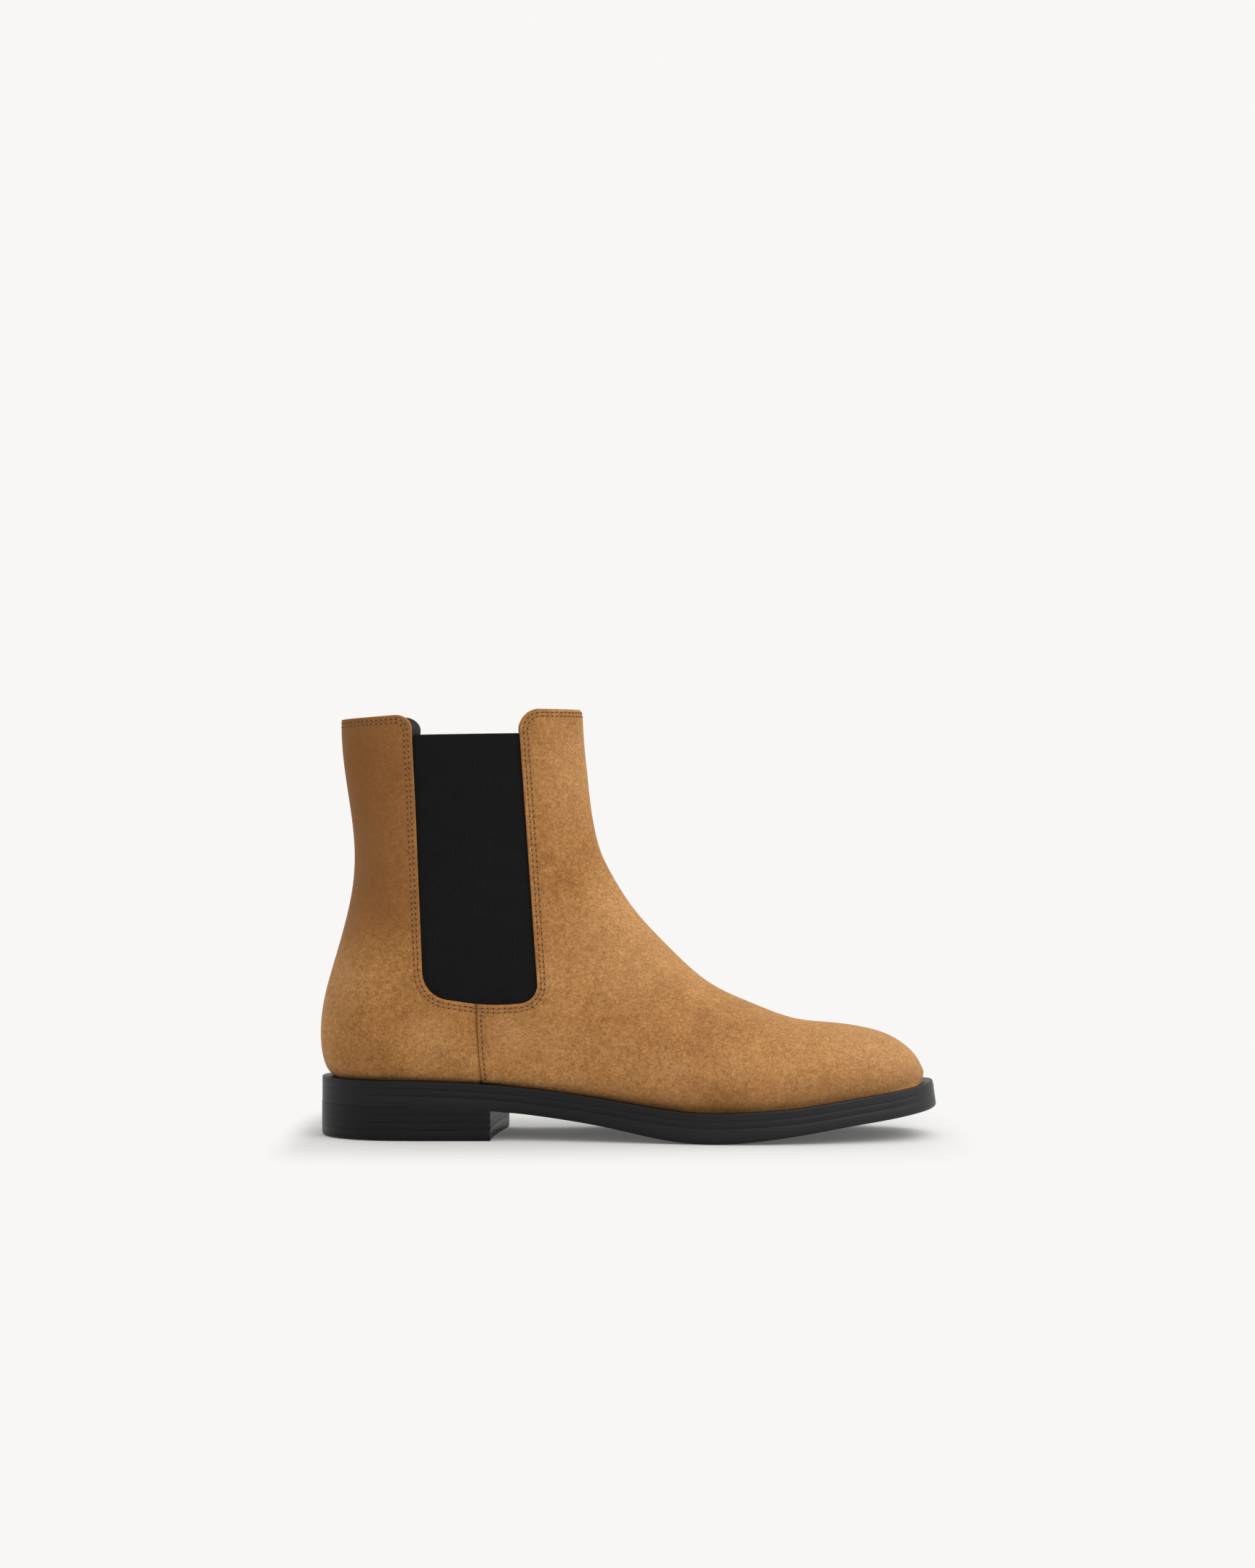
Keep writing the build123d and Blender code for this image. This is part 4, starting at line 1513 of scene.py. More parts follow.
class StitchTree:
    """Geometry Nodes that lay one stitch at each step of a line."""

    sizes = ("Count", "Length", "Width", "Height")

    def __init__(self) -> None:
        """Builds the tree once."""
        tree = bpy.data.node_groups.new("stitch_row", "GeometryNodeTree")
        face = tree.interface
        face.new_socket("Geometry", in_out="INPUT", socket_type="NodeSocketGeometry")
        face.new_socket("Count", in_out="INPUT", socket_type="NodeSocketInt")
        for name in self.sizes[1:]:
            face.new_socket(name, in_out="INPUT", socket_type="NodeSocketFloat")
        face.new_socket("Thread", in_out="INPUT", socket_type="NodeSocketMaterial")
        face.new_socket("Geometry", in_out="OUTPUT", socket_type="NodeSocketGeometry")
        self.tree = tree
        self._link()

    def _add(self, kind: str, settings: dict | None = None, **sockets: object) -> bpy.types.Node:
        """One node, with its settings and then its sockets.

        Args:
            kind: the node's type.
            settings: attributes of the node.
            sockets: a value or a socket to link for each input, named with _ for a space.

        Returns:
            The node.
        """
        node = self.tree.nodes.new(kind)
        for key, value in (settings or {}).items():
            setattr(node, key, value)
        for key, value in sockets.items():
            socket = node.inputs[key.replace("_", " ")]
            if isinstance(value, bpy.types.NodeSocket):
                self.tree.links.new(value, socket)
            else:
                socket.default_value = value
        return node

    def _link(self) -> None:
        """Line, evenly spaced points, a stitch on each, turned along the line."""
        given = self._add("NodeGroupInput").outputs
        line = self._add("GeometryNodeMeshToCurve", None, Mesh=given["Geometry"])
        even = self._add("GeometryNodeResampleCurve", {"mode": "COUNT"}, Curve=line.outputs[0],
                         Count=given["Count"])
        ball = self._add("GeometryNodeMeshUVSphere", None, Segments=8, Rings=5, Radius=0.5)
        size = self._add("ShaderNodeCombineXYZ", None, X=given["Length"], Y=given["Width"],
                         Z=given["Height"])
        stitch = self._add("GeometryNodeTransform", None, Geometry=ball.outputs[0],
                           Scale=size.outputs[0])
        tangent = self._add("GeometryNodeInputTangent")
        along = self._add("FunctionNodeAlignRotationToVector", {"axis": "X"},
                          Vector=tangent.outputs[0])
        up = self._add("GeometryNodeInputNamedAttribute", {"data_type": "FLOAT_VECTOR"}, Name="up")
        turned = self._add("FunctionNodeAlignRotationToVector", {"axis": "Z", "pivot_axis": "X"},
                           Rotation=along.outputs[0], Vector=up.outputs[0])
        uneven = self._add("FunctionNodeRandomValue", {"data_type": "FLOAT_VECTOR"}, Seed=11)
        uneven.inputs["Min"].default_value = (0.90, 0.9, 0.85)
        uneven.inputs["Max"].default_value = (1.06, 1.1, 1.15)
        laid = self._add("GeometryNodeInstanceOnPoints", None, Points=even.outputs[0],
                         Instance=stitch.outputs[0], Rotation=turned.outputs[0],
                         Scale=uneven.outputs[0])
        real = self._add("GeometryNodeRealizeInstances", None, Geometry=laid.outputs[0])
        dyed = self._add("GeometryNodeSetMaterial", None, Geometry=real.outputs[0],
                         Material=given["Thread"])
        self._add("NodeGroupOutput", None, Geometry=dyed.outputs[0])

    def lay(self, name: str, points: np.ndarray, normals: np.ndarray, count: int,
            size: tuple[float, float, float], thread: bpy.types.Material) -> bpy.types.Object:
        """Lays one row.

        Args:
            name: the piece's name.
            points, normals: the line, in metres, and the surface's normals along it.
            count: how many stitches.
            size: a stitch's length, width and height in millimetres.
            thread: its material.

        Returns:
            The row as a plain mesh object.
        """
        mesh = bpy.data.meshes.new(name)
        mesh.from_pydata(points.tolist(), [(i, i + 1) for i in range(len(points) - 1)], [])
        up = mesh.attributes.new("up", "FLOAT_VECTOR", "POINT")
        up.data.foreach_set("vector", normals.astype(np.float32).ravel())
        row = bpy.data.objects.new(name, mesh)
        bpy.context.scene.collection.objects.link(row)
        laid = row.modifiers.new("stitches", "NODES")
        laid.node_group = self.tree
        values = {"Count": count, "Length": size[0] * MM, "Width": size[1] * MM,
                  "Height": size[2] * MM, "Thread": thread}
        for item in self.tree.interface.items_tree:
            if item.in_out == "INPUT" and item.name in values:
                laid[item.identifier] = values[item.name]
        bpy.context.view_layer.update()
        shown = row.evaluated_get(bpy.context.evaluated_depsgraph_get())
        plain = bpy.data.meshes.new_from_object(shown)
        row.modifiers.remove(laid)
        row.data = plain
        plain.polygons.foreach_set("use_smooth", [True] * len(plain.polygons))
        return row


@dataclass
class Stitching:
    """Rows of stitches, with dark marks between them that paint the shade of the needle holes."""

    pitch: float = 2.7
    stitch: tuple = (1.75, 0.62, 0.56)
    hole: tuple = (1.05, 0.78, 0.40)
    sunk: float = 0.02
    tab_width: float = 9.0
    tab_height: float = 11.0

    def build(self, rows: dict[str, list], pattern: Pattern, frame: Frame,
              finishes: Finishes) -> None:
        """Lays every row.

        Args:
            rows: the lines, by the name of the row.
            pattern: the upper's pattern.
            frame: the CAD frame.
            finishes: the materials.
        """
        tree = StitchTree()
        for name, lines in rows.items():
            for number, (points, normals) in enumerate(lines):
                label = f"{name}_{number + 1}"
                self._row(tree, label, points, normals, pattern, frame, finishes)

    def _row(self, tree: StitchTree, label: str, points: np.ndarray, normals: np.ndarray,
             pattern: Pattern, frame: Frame, finishes: Finishes) -> None:
        """One row of stitches and the painted shade of its holes.

        Args:
            tree: the stitches' tree.
            label: the end of the pieces' names.
            points, normals: the line and the surface's normals along it.
            pattern, frame, finishes: as for build.
        """
        run = np.concatenate([[0], np.cumsum(np.linalg.norm(np.diff(points, axis=0), axis=1))])
        count = max(int(round(run[-1] / (self.pitch * MM))), 2)
        step = run[-1] / count
        first = self._part(points, normals, run, step / 2, run[-1] - step / 2)
        row = tree.lay(f"stitches_{label}", first[0] - first[1] * self.sunk * MM, first[1], count,
                       self.stitch, finishes.thread)
        self._dye_tab(row, pattern, frame, finishes)
        finish_piece(row, "thread")
        # Painted shade: a dark mark over each needle hole between the stitches.
        holes = tree.lay(f"needle_holes_{label}", points + normals * self.sunk * MM, normals,
                         count + 1, self.hole, finishes.needle_hole_shade)
        finish_piece(holes, "thread")

    @staticmethod
    def _part(points: np.ndarray, normals: np.ndarray, run: np.ndarray, start: float,
              end: float) -> tuple[np.ndarray, np.ndarray]:
        """The stretch of a line between two lengths along it.

        Args:
            points, normals: the line.
            run: the length up to each of its points.
            start, end: the two lengths.

        Returns:
            The stretch's points and normals.
        """
        places = np.linspace(start, end, len(points))
        return tuple(np.stack([np.interp(places, run, values[:, i]) for i in range(3)], axis=1)
                     for values in (points, normals))

    def _dye_tab(self, row: bpy.types.Object, pattern: Pattern, frame: Frame,
                 finishes: Finishes) -> None:
        """Gives the stitches round the front tab's corner their lighter thread.

        Args:
            row: the row.
            pattern, frame, finishes: as for build.
        """
        row.data.materials.append(finishes.gold_thread)
        _, front = pattern.gore_edges(np.array(pattern.shaft_height))
        lowest = pattern.shaft_height - self.tab_height
        for face in row.data.polygons:
            ahead = (face.center.x - frame.back) / MM - float(front)
            if 0 < ahead < self.tab_width and face.center.z / MM > lowest:
                face.material_index = 1


# ---- Gores ---------------------------------------------------------------------------------------


@dataclass
class Gore:
    """One elastic side panel: upright ribs, a hem along the top, its margins under the suede."""

    side: Side
    margin: float = 3.6
    rib_pitch: float = 0.8
    rib_height: float = 0.07
    per_rib: int = 4
    rows: int = 74
    thickness: float = 1.15
    hem: float = 1.6
    hem_groove: float = 0.16
    hem_groove_width: float = 0.28
    hem_round: float = 0.45
    hem_round_width: float = 0.35
    hem_zone: float = 4.0
    hem_rows: tuple = (0.8, 1.4, 1.9, 2.15, 2.35, 2.55, 2.8, 3.2, 3.6, 3.85, 4.0)
    sink: float = 0.12
    flat: tuple = (0.064, 0.150)
    flat_area: float = 0.0086

    def build(self, pattern: Pattern, frame: Frame, finishes: Finishes) -> bpy.types.Object:
        """Weaves the panel onto the CAD gore's face.

        Args:
            pattern: the upper's pattern.
            frame: the CAD frame.
            finishes: the materials.

        Returns:
            The panel.
        """
        node = f"gore_{self.side.name.lower()}"
        points, faces, _ = merged_nodes(frame.loaded, [node])
        tree = BVHTree.FromPolygons(points.tolist(), faces)
        low = pattern.gore_floor - self.margin
        high = float(pattern.gore_top(np.array(pattern.shaft_back + pattern.back_tab_width)))
        hem_foot = high - self.hem_zone
        heights = np.concatenate([np.linspace(low, hem_foot, self.rows),
                                  hem_foot + np.array(self.hem_rows)])
        ribs = int((pattern.gore_width_floor + 2 * self.margin) / self.rib_pitch)
        across = np.linspace(0, 1, ribs * self.per_rib + 1)
        z = np.repeat(heights[:, None], len(across), 1)
        back, front = pattern.gore_edges(z)
        x = back - self.margin + (front - back + 2 * self.margin) * across[None, :]
        z = z + (pattern.gore_top(x) - high) * smoothstep(z, low, high)
        outer = self._face(tree, frame, x, z)
        normals = self._normals(outer)
        wave = np.cos(2 * math.pi * across * ribs)[None, :] * self.rib_height
        top = pattern.gore_top(x) - z
        hem_line = -self.hem_groove * ridge(top, self.hem, self.hem_groove_width)
        rounded = -self.hem_round * np.exp(-top / self.hem_round_width)
        rise = (wave + hem_line + rounded - self.sink) * MM
        outer = outer + normals * rise[..., None]
        inner = outer - normals * (self.thickness * MM)
        return self._weave(node, outer, inner, x, z, finishes)

    def _face(self, tree: BVHTree, frame: Frame, x: np.ndarray, z: np.ndarray) -> np.ndarray:
        """The CAD gore's outer face at the given stations and heights.

        Args:
            tree: the CAD gore.
            frame: the CAD frame.
            x, z: stations and heights.

        Returns:
            The face's points, in metres.
        """
        sign = self.side.value
        y = np.full(x.shape, np.nan)
        for index in np.ndindex(x.shape):
            start = Vector((frame.back + x[index] * MM, sign * 0.2, z[index] * MM))
            hit, *_ = tree.ray_cast(start, Vector((0, -sign, 0)))
            if hit is not None:
                y[index] = hit.y
        for row in y:
            seen = ~np.isnan(row)
            if seen.any():
                row[:] = np.interp(np.arange(len(row)), np.flatnonzero(seen), row[seen])
        for ring in range(1, len(y)):
            if np.isnan(y[ring]).all():
                y[ring] = y[ring - 1]
        for _ in range(2):
            y[1:-1] = (y[:-2] + 2 * y[1:-1] + y[2:]) / 4
            y[:, 1:-1] = (y[:, :-2] + 2 * y[:, 1:-1] + y[:, 2:]) / 4
        return np.stack([frame.back + x * MM, y, z * MM], axis=2)

    def _normals(self, points: np.ndarray) -> np.ndarray:
        """Outward normals of the panel's face.

        Args:
            points: the face's points.

        Returns:
            A normal at each point.
        """
        normal = np.cross(np.gradient(points, axis=1), np.gradient(points, axis=0))
        normal /= np.linalg.norm(normal, axis=2)[..., None]
        return normal * np.sign(normal[..., 1].mean()) * self.side.value

    def _weave(self, node: str, outer: np.ndarray, inner: np.ndarray, x: np.ndarray,
               z: np.ndarray, finishes: Finishes) -> bpy.types.Object:
        """The closed panel with its weave map in millimetres.

        Args:
            node: the CAD gore's name.
            outer, inner: the points of its two faces.
            x, z: their stations and heights.
            finishes: the materials.

        Returns:
            The panel.
        """
        rows, columns = x.shape
        index = np.arange(rows * columns).reshape(rows, columns)
        quads = np.stack([index[:-1, :-1], index[:-1, 1:], index[1:, 1:], index[1:, :-1]],
                         axis=2).reshape(-1, 4)
        count = rows * columns
        loop = np.concatenate([index[0, :-1], index[:-1, -1], index[-1, :0:-1], index[:0:-1, 0]])
        after = np.roll(loop, -1)
        rim = np.stack([after, loop, loop + count, after + count], axis=1)
        faces = np.concatenate([quads, quads[:, ::-1] + count, rim])
        if self.side is Side.MEDIAL:
            faces = faces[:, ::-1]
        points = np.concatenate([outer.reshape(-1, 3), inner.reshape(-1, 3)])
        panel = mesh_object(f"{node}_elastic", points, faces, [finishes.elastic])
        weave = panel.data.uv_layers.new(name="weave")
        flat = np.stack([x.ravel(), z.ravel()], axis=1)
        vertex = np.empty(len(panel.data.loops), int)
        panel.data.loops.foreach_get("vertex_index", vertex)
        weave.data.foreach_set("uv", flat[vertex % count].astype(np.float32).ravel())
        finish_piece(panel, "elastic", node)
        return panel


# ---- Sole, heel and what is inside ---------------------------------------------------------------


@dataclass(frozen=True)
class Block:
    """A hard CAD piece that is rebuilt with its sharp edges eased, in millimetres."""

    MERGE: ClassVar[float] = 0.004
    FLAT: ClassVar[float] = math.radians(0.2)
    SHARP: ClassVar[float] = math.radians(40)
    CREASE: ClassVar[float] = math.radians(28)

    node: str
    slot: str
    finish: str
    ease: float

    def build(self, frame: Frame, finishes: Finishes) -> bpy.types.Object:
        """Copies the CAD piece, merges its triangles and rounds its sharp edges.

        Args:
            frame: the CAD frame.
            finishes: the materials.

        Returns:
            The rebuilt piece.
        """
        work = bmesh.new()
        work.from_mesh(frame.node(self.node).data)
        bmesh.ops.remove_doubles(work, verts=work.verts, dist=self.MERGE * MM)
        bmesh.ops.dissolve_limit(work, angle_limit=self.FLAT, verts=work.verts, edges=work.edges)
        sharp = [edge for edge in work.edges
                 if len(edge.link_faces) == 2 and edge.calc_face_angle(0.0) > self.SHARP]
        bmesh.ops.bevel(work, geom=sharp, offset=self.ease * MM, segments=2, profile=0.5,
                        affect="EDGES", clamp_overlap=False)
        bmesh.ops.triangulate(work, faces=[f for f in work.faces if len(f.verts) > 4])
        mesh = bpy.data.meshes.new(f"{self.node}_made")
        work.to_mesh(mesh)
        work.free()
        mesh.materials.append(getattr(finishes, self.finish))
        mesh.polygons.foreach_set("use_smooth", [True] * len(mesh.polygons))
        mesh.set_sharp_from_angle(angle=self.CREASE)
        piece = bpy.data.objects.new(f"{self.node}_made", mesh)
        bpy.context.scene.collection.objects.link(piece)
        finish_piece(piece, self.slot, self.node)
        return piece


BLOCKS = (
    Block("heel_lift_1", "sole_leather", "heel_edge_painted_shade", 0.05),
    Block("heel_lift_2", "sole_leather", "heel_edge_painted_shade", 0.05),
    Block("heel_lift_3", "sole_leather", "heel_edge_painted_shade", 0.08),
    Block("top_piece", "heel_rubber", "heel_rubber", 0.15),
    Block("sock_lining", "lining", "lining", 0.2),
)


@dataclass
class Sole:
    """Welt, midsole and outsole, each swept round the sole's edge as a clean closed layer."""

    LEANS: ClassVar[dict] = {"feather": 1.0, "midsole_top": 0.62, "outsole_top": 0.34,
                             "under": 0.0}
    PROBES: ClassVar[tuple] = (("midsole_top", "midsole", 1), ("outsole_top", "outsole", 1),
                               ("under", "outsole", -1))
    SPINE_SHARES: ClassVar[tuple] = (0.0, 0.35, 0.7)
    CREASE: ClassVar[float] = math.radians(50)

    frame: Frame
    heel_turn: float = 36.0
    toe_turn: float = 48.0
    side_steps: int = 170
    end_steps: int = 46
    level_steps: int = 150
    level_end: float = 2.0
    probe: float = 1.5
    centre_line: float = 4.0
    welt_width: float = 13.0
    plate_inset: float = 4.0
    tread_inset: float = 5.0
    groove: float = 0.035
    toe_lean: float = 1.7
    top_round: float = 0.55
    lower_round: float = 1.6
    heel_round: float = 0.12
    breast: float = 90.0
    breast_run: float = 8.0
    lean_run: tuple = (235.0, 298.0)
    edge: np.ndarray = field(init=False)
    spine: np.ndarray = field(init=False)
    outward: np.ndarray = field(init=False)
    levels: dict = field(init=False)

    def measure(self) -> None:
        """Feels out the sole's plan and the heights of its layers on the CAD pieces."""
        self._measure_plan()
        self._measure_levels()

    def _measure_plan(self) -> None:
        """The plan's edge, the point of the spine that each edge point belongs to, and normals."""
        points, faces, _ = merged_nodes(self.frame.loaded, ["welt", "midsole", "outsole"])
        station = (points[:, 0] - self.frame.back) / MM
        points[:, 2] -= self.frame.feather_height(station) * MM
        tree = BVHTree.FromPolygons(points.tolist(), faces)
        heel = self.frame.back + self.heel_turn * MM
        toe = self.frame.box[1][0] - self.toe_turn * MM
        run = np.linspace(heel, toe, self.side_steps)
        turns = np.linspace(-math.pi / 2, math.pi / 2, self.end_steps + 1)[1:-1]
        rays = [(x, 0.0, -1.0) for x in run]
        rays += [(toe, math.cos(turn), math.sin(turn)) for turn in turns]
        rays += [(x, 0.0, 1.0) for x in run[::-1]]
        rays += [(heel, -math.cos(turn), -math.sin(turn)) for turn in turns]
        edge, spine = [], []
        for x, ahead, beside in rays:
            way = Vector((ahead, beside, 0))
            start = Vector((x, 0, -self.probe * MM)) + way * 0.2
            hit, *_ = tree.ray_cast(start, -way)
            edge.append((hit.x, hit.y))
            spine.append((x, 0.0))
        edge = np.array(edge)
        for _ in range(3):
            edge = edge * 0.5 + (np.roll(edge, 1, 0) + np.roll(edge, -1, 0)) * 0.25
        along = np.roll(edge, -1, 0) - np.roll(edge, 1, 0)
        along /= np.linalg.norm(along, axis=1)[:, None]
        self.edge, self.spine = edge, np.array(spine)
        self.outward = np.stack([along[:, 1], -along[:, 0]], axis=1)

    def _measure_levels(self) -> None:
        """Heights of the layers' faces along the sole."""
        low, high = self.frame.box[0][0], self.frame.box[1][0]
        run = np.linspace(low + self.level_end * MM, high - self.level_end * MM, self.level_steps)
        self.levels = {}
        for name, node, sign in self.PROBES:
            points, faces, _ = merged_nodes(self.frame.loaded, [node])
            tree = BVHTree.FromPolygons(points.tolist(), faces)
            found = []
            for x in run:
                start = Vector((x, self.centre_line * MM, sign * 0.3))
                hit, *_ = tree.ray_cast(start, Vector((0, 0, -sign)))
                found.append(hit.z if hit else np.nan)
            found = np.array(found)
            seen = ~np.isnan(found)
            smooth = np.interp(run, run[seen], found[seen])
            smooth[1:-1] = (smooth[:-2] + 2 * smooth[1:-1] + smooth[2:]) / 4
            self.levels[name] = (run, smooth)
        feather = self.frame.feather_height((run - self.frame.back) / MM) * MM
        welt = float(np.median(feather - self.levels["midsole_top"][1]))
        self.levels["feather"] = (run, self.levels["midsole_top"][1] + welt)

    def _height(self, level: str, x: np.ndarray) -> np.ndarray:
        """Height of one of the layers' faces at some X."""
        return np.interp(x, *self.levels[level])

    def _row(self, level: str, inset: np.ndarray | float, rise: np.ndarray | float = 0.0,
             share: float | None = None) -> np.ndarray:
        """One row of points round the sole.

        Args:
            level: the face that the row lies on.
            inset: how far in from the edge, in millimetres.
            rise: how far above the face, in millimetres.
            share: how far out from the spine instead of an inset, from 0 to 1.

        Returns:
            The row's points.
        """
        if share is None:
            station = (self.edge[:, 0] - self.frame.back) / MM
            lean = self.LEANS[level] * self.toe_lean * smoothstep(station, *self.lean_run)
            plan = self.edge - self.outward * ((inset + lean) * MM)[:, None]
        else:
            plan = self.spine + (self.edge - self.spine) * share
        z = self._height(level, plan[:, 0]) + np.asarray(rise) * MM
        return np.column_stack([plan, z])

    def _swept(self, name: str, rows: list[np.ndarray], ring: bool,
               finish: bpy.types.Material) -> bpy.types.Object:
        """A closed layer from rows that run from the top's middle round to the underside's.

        Args:
            name: the piece's name.
            rows: the rows.
            ring: whether the last row joins the first.
            finish: its material.

        Returns:
            The layer's object.
        """
        count = len(rows[0])
        points = np.concatenate(rows)
        steps = len(rows) if ring else len(rows) - 1
        faces = []
        for step in range(steps):
            here, there = step * count, (step + 1) % len(rows) * count
            for i in range(count):
                j = (i + 1) % count
                faces.append((here + i, there + i, there + j, here + j))
        layer = mesh_object(name, points, faces, [finish], None, 0.02 * MM)
        layer.data.set_sharp_from_angle(angle=self.CREASE)
        return layer

    def _middle(self, level: str) -> list[np.ndarray]:
        """The rows that close a plate's face, from the spine outwards."""
        return [self._row(level, 0, 0, share) for share in self.SPINE_SHARES]

    def build_welt(self, finishes: Finishes) -> None:
        """The welt: a ring with an eased top edge.

        Args:
            finishes: the materials.
        """
        soft, row = self.top_round, self._row
        rows = [row("feather", self.welt_width), row("feather", 8.0), row("feather", 3.0),
                row("feather", 2 * soft), row("feather", soft, -0.04 * soft)]
        rows += [row("feather", soft * (1 - math.sin(turn)), -soft * (1 - math.cos(turn)))
                 for turn in (0.5, 0.85, 1.2, math.pi / 2)]
        rows += [row("midsole_top", 0.0, 1.2), row("midsole_top", 0.0, self.groove * 1.5),
                 row("midsole_top", self.groove), row("midsole_top", 6.0),
                 row("midsole_top", self.welt_width)]
        welt = self._swept("welt_strip", rows, True, finishes.sole_edge)
        finish_piece(welt, "sole_leather", "welt")

    def build_midsole(self, finishes: Finishes) -> None:
        """The midsole: a full plate between two fine joint lines.

        Args:
            finishes: the materials.
        """
        row, fine = self._row, self.groove
        rows = self._middle("midsole_top")
        rows += [row("midsole_top", self.plate_inset), row("midsole_top", fine),
                 row("midsole_top", 0.0, -fine * 1.5), row("outsole_top", 0.0, fine * 1.5),
                 row("outsole_top", fine), row("outsole_top", self.plate_inset)]
        rows += self._middle("outsole_top")[::-1]
        midsole = self._swept("midsole_plate", rows, False, finishes.sole_edge)
        finish_piece(midsole, "sole_leather", "midsole")

    def build_outsole(self, finishes: Finishes) -> None:
        """The outsole, with its lower edge rounded in front of the heel.

        Args:
            finishes: the materials.
        """
        row, fine = self._row, self.groove
        station = (self.edge[:, 0] - self.frame.back) / MM
        ahead = smoothstep(station, self.breast, self.breast + self.breast_run)
        soft = self.heel_round + (self.lower_round - self.heel_round) * ahead
        rows = self._middle("outsole_top")
        rows += [row("outsole_top", self.plate_inset), row("outsole_top", fine),
                 row("outsole_top", 0.0, -fine * 1.5)]
        rows += [row("under", soft * (1 - math.cos(turn)), soft * (1 - math.sin(turn)))
                 for turn in (0.0, 0.4, 0.8, 1.2, math.pi / 2)]
        rows += [row("under", self.tread_inset), *self._middle("under")[::-1]]
        outsole = self._swept("outsole_plate", rows, False, finishes.sole_edge)
        finish_piece(outsole, "sole_leather", "outsole")


INSIDE = {
    "toe_puff": "stiffener",
    "heel_counter": "stiffener",
    "insole_board": "insole",
    "cork_filler": "cork",
    "shank": "steel",
    "shank_rivets": "steel",
    "heel_seat_nails": "steel",
    "top_piece_nails": "brass",
}


def dress_inside(frame: Frame, finishes: Finishes) -> None:
    """Gives each CAD piece that stays the finish that INSIDE names for it.

    Args:
        frame: the CAD frame.
        finishes: the materials.
    """
    for node, slot in INSIDE.items():
        materials = frame.node(node).data.materials
        materials.clear()
        materials.append(getattr(finishes, slot))
        frame.node(node)
        LOG.info("%s: %s", node, slot)


# ---- Studio --------------------------------------------------------------------------------------


@dataclass(frozen=True)
class Lamp:
    """One soft box: its place, what it aims at and its size in metres, its power in watts."""

    name: str
    place: tuple
    aim: tuple
    size: tuple
    power: float

    def hang(self) -> None:
        """Adds the lamp to the scene."""
        light = bpy.data.lights.new(self.name, "AREA")
        light.shape = "RECTANGLE"
        light.size, light.size_y = self.size
        light.energy = self.power
        lamp = bpy.data.objects.new(self.name, light)
        lamp.location = self.place
        way = Vector(self.aim) - Vector(self.place)
        lamp.rotation_euler = way.to_track_quat("-Z", "Y").to_euler()
        bpy.context.scene.collection.objects.link(lamp)


LAMPS = (
    Lamp("key", (0.80, -1.00, 1.20), (0.1, 0.0, 0.08), (1.3, 1.3), 13.0),
    Lamp("top", (0.25, 0.15, 1.5), (0.1, 0.0, 0.0), (1.4, 1.0), 6.0),
    Lamp("toe", (1.50, -0.30, 0.70), (0.15, 0.0, 0.05), (0.9, 0.9), 3.0),
)


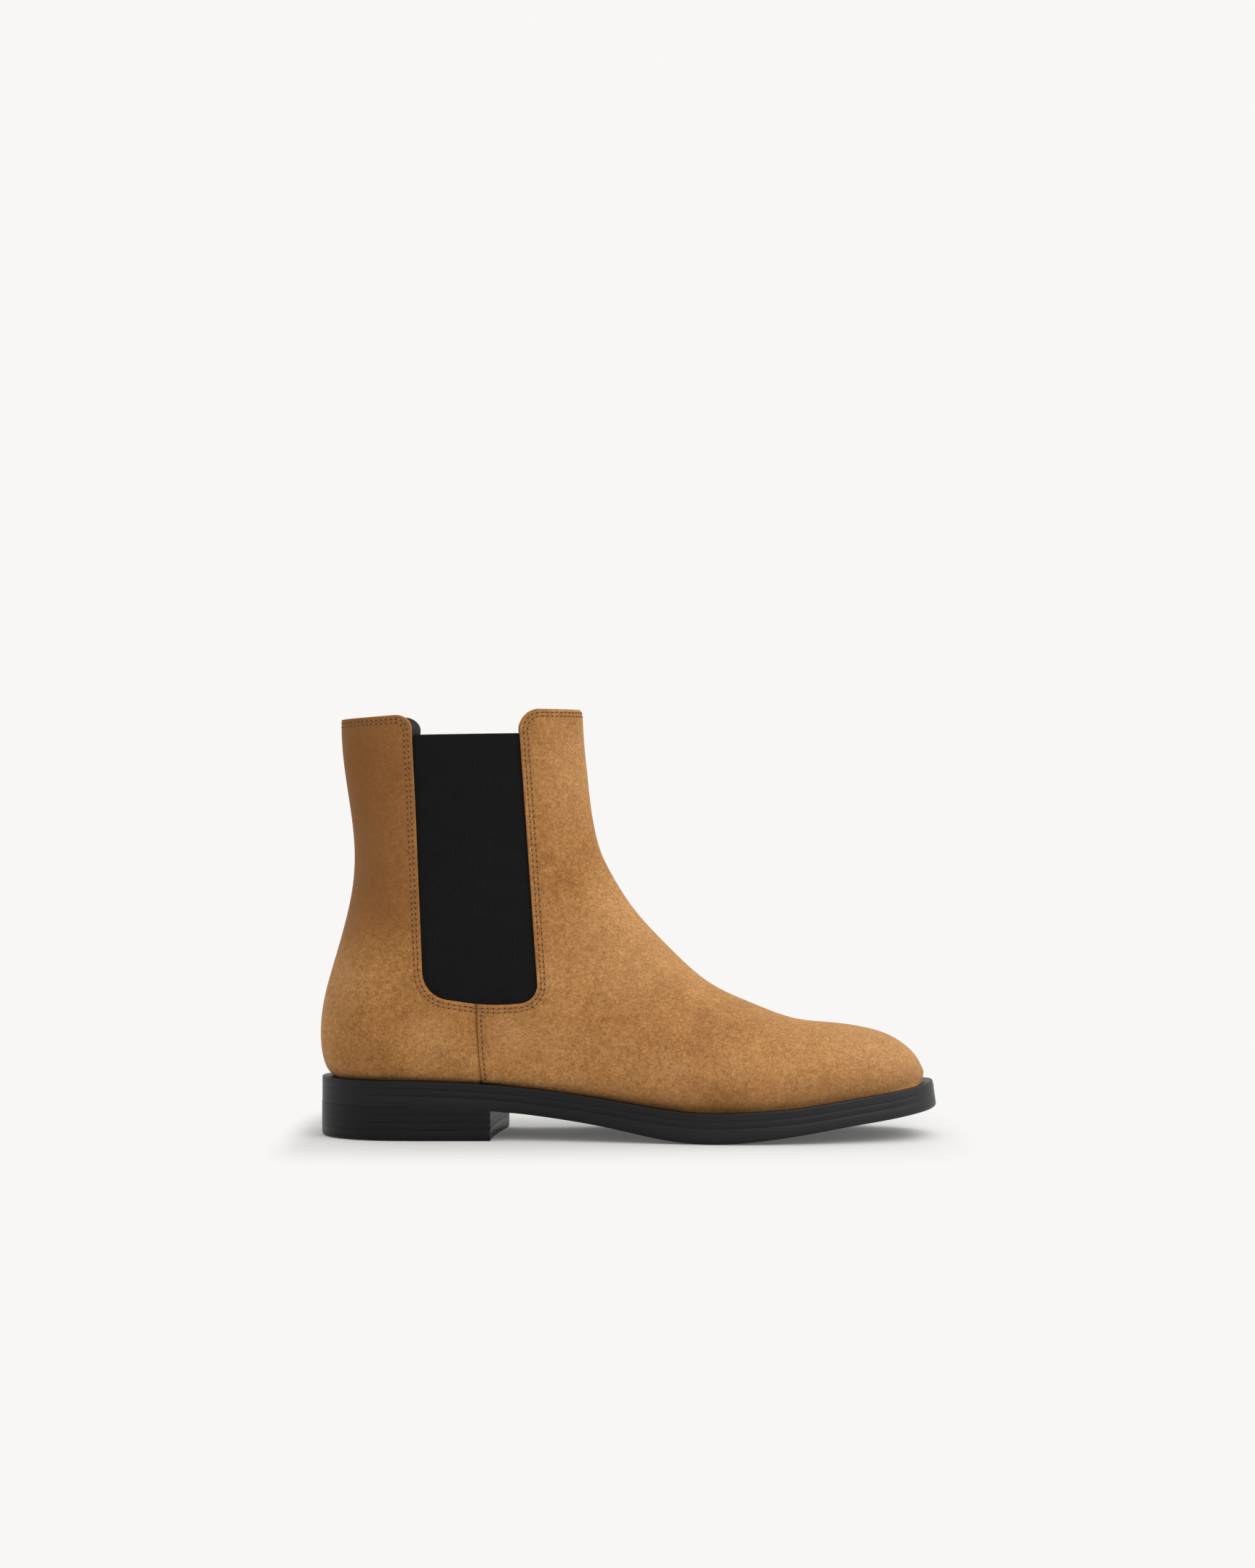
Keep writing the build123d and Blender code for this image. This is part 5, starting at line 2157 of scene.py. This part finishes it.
@dataclass
class Studio:
    """Pale seamless floor, soft light from above and in front, and the camera."""

    eye_station: float = 150.5
    eye_height: float = 171.9
    eye_distance: float = 1580.0
    lens: float = 73.8
    sensor: float = 36.0
    farthest: float = 100.0
    backdrop: tuple = (248, 247, 245)
    floor_reach: float = 30.0
    floor_grey: float = 0.585
    floor_fade: tuple = (0.004, 0.098)
    floor_glow: float = 0.10
    toe_spring: float = 0.020
    toe_haste: float = 2.2
    heel_haste: float = 4.4

    def build(self, frame: Frame) -> None:
        """Sets up floor, light and camera.

        Args:
            frame: the CAD frame.
        """
        scene = bpy.context.scene
        scene.view_settings.view_transform = "Standard"
        scene.view_settings.look = "None"
        self._world(scene)
        self._floor(frame)
        for lamp in LAMPS:
            lamp.hang()
        self._camera(frame, scene)

    def _world(self, scene: bpy.types.Scene) -> None:
        """An even, pale surround.

        Args:
            scene: the scene.
        """
        world = bpy.data.worlds.new("studio")
        world.use_nodes = True
        light = world.node_tree.nodes["Background"]
        light.inputs["Color"].default_value = srgb(*self.backdrop)
        light.inputs["Strength"].default_value = 1.0
        scene.world = world

    def _floor(self, frame: Frame) -> None:
        """A floor that fades into the surround away from the boot.

        Args:
            frame: the CAD frame.
        """
        mesh = bpy.data.meshes.new("floor")
        reach = self.floor_reach
        corners = [(-reach, -reach, 0), (reach, -reach, 0), (reach, reach, 0), (-reach, reach, 0)]
        mesh.from_pydata(corners, [], [(0, 1, 2, 3)])
        floor = bpy.data.objects.new("floor", mesh)
        bpy.context.scene.collection.objects.link(floor)
        shade = Shade("pale_floor")
        x, y, _ = shade.axes(shade.place())
        low, high = frame.box
        ahead = shade.maths("MAXIMUM", x - (high[0] - self.toe_spring), 0.0) * self.toe_haste
        behind = shade.maths("MAXIMUM", (0 - x) + low[0], 0.0) * self.heel_haste
        beside = shade.maths("MAXIMUM", shade.maths("ABSOLUTE", y) - high[1], 0.0)
        away = shade.maths("SQRT", (ahead ** 2.0) + (behind ** 2.0) + (beside ** 2.0))
        fade = shade.ramp(away, *self.floor_fade) * (1 - self.floor_glow) + self.floor_glow
        grey = self.floor_grey
        paint = shade.node("BsdfDiffuse", None, Color=(grey, grey, grey * 0.995, 1.0))
        glow = shade.node("Emission", None, Color=srgb(*self.backdrop), Strength=1.0)
        blend = shade.node("MixShader", None, i0=fade)
        shade.tree.links.new(paint.outputs[0], blend.inputs[1])
        shade.tree.links.new(glow.outputs[0], blend.inputs[2])
        end = shade.tree.nodes.new("ShaderNodeOutputMaterial")
        shade.tree.links.new(blend.outputs[0], end.inputs[0])
        mesh.materials.append(shade.material)
        floor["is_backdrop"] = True

    def _camera(self, frame: Frame, scene: bpy.types.Scene) -> None:
        """A level camera on the outer side.

        Args:
            frame: the CAD frame.
            scene: the scene.
        """
        data = bpy.data.cameras.new("eye")
        data.sensor_fit = "VERTICAL"
        data.sensor_height = data.sensor_width = self.sensor
        data.lens = self.lens
        data.clip_end = self.farthest
        eye = bpy.data.objects.new("eye", data)
        eye.location = (frame.back + self.eye_station * MM, -self.eye_distance * MM,
                        self.eye_height * MM)
        eye.rotation_euler = (math.radians(90), 0, 0)
        scene.collection.objects.link(eye)
        scene.camera = eye


def build_upper(frame: Frame, pattern: Pattern, finishes: Finishes) -> None:
    """Builds the suede, backing and lining panels and the stitching.

    Args:
        frame: the CAD frame.
        pattern: the upper's pattern.
        finishes: the materials.
    """
    surface = LastSurface()
    surface.build(frame)
    LOG.info("last surface: %d by %d", surface.rings, surface.columns)
    upper = Upper(surface, pattern, frame)
    upper.measure()
    finish_piece(upper.build_vamp(finishes), "suede", "vamp")
    finish_piece(upper.build_quarter(finishes), "suede", "back_quarter")
    finish_piece(upper.build_backing(finishes, True), "backing", "vamp_interlining")
    finish_piece(upper.build_backing(finishes, False), "backing", "quarter_interlining")
    finish_piece(upper.build_lining(finishes, True), "lining", "vamp_lining")
    finish_piece(upper.build_lining(finishes, False), "lining", "quarter_lining")
    Stitching().build(upper.rows(), pattern, frame, finishes)


def build_bottom(frame: Frame, finishes: Finishes) -> None:
    """Builds the sole's layers and the heel, and dresses what is inside.

    Args:
        frame: the CAD frame.
        finishes: the materials.
    """
    sole = Sole(frame)
    sole.measure()
    sole.build_welt(finishes)
    sole.build_midsole(finishes)
    sole.build_outsole(finishes)
    for block in BLOCKS:
        block.build(frame, finishes)
    dress_inside(frame, finishes)


def main() -> None:
    """Builds the boot's looks piece by piece."""
    logging.basicConfig(level=logging.INFO, format="%(name)s %(message)s")
    frame = Frame()
    finishes = Finishes()
    pattern = Pattern()
    build_upper(frame, pattern, finishes)
    for side in Side:
        Gore(side).build(pattern, frame, finishes)
    build_bottom(frame, finishes)
    Studio().build(frame)


if __name__ == "__main__":
    main()
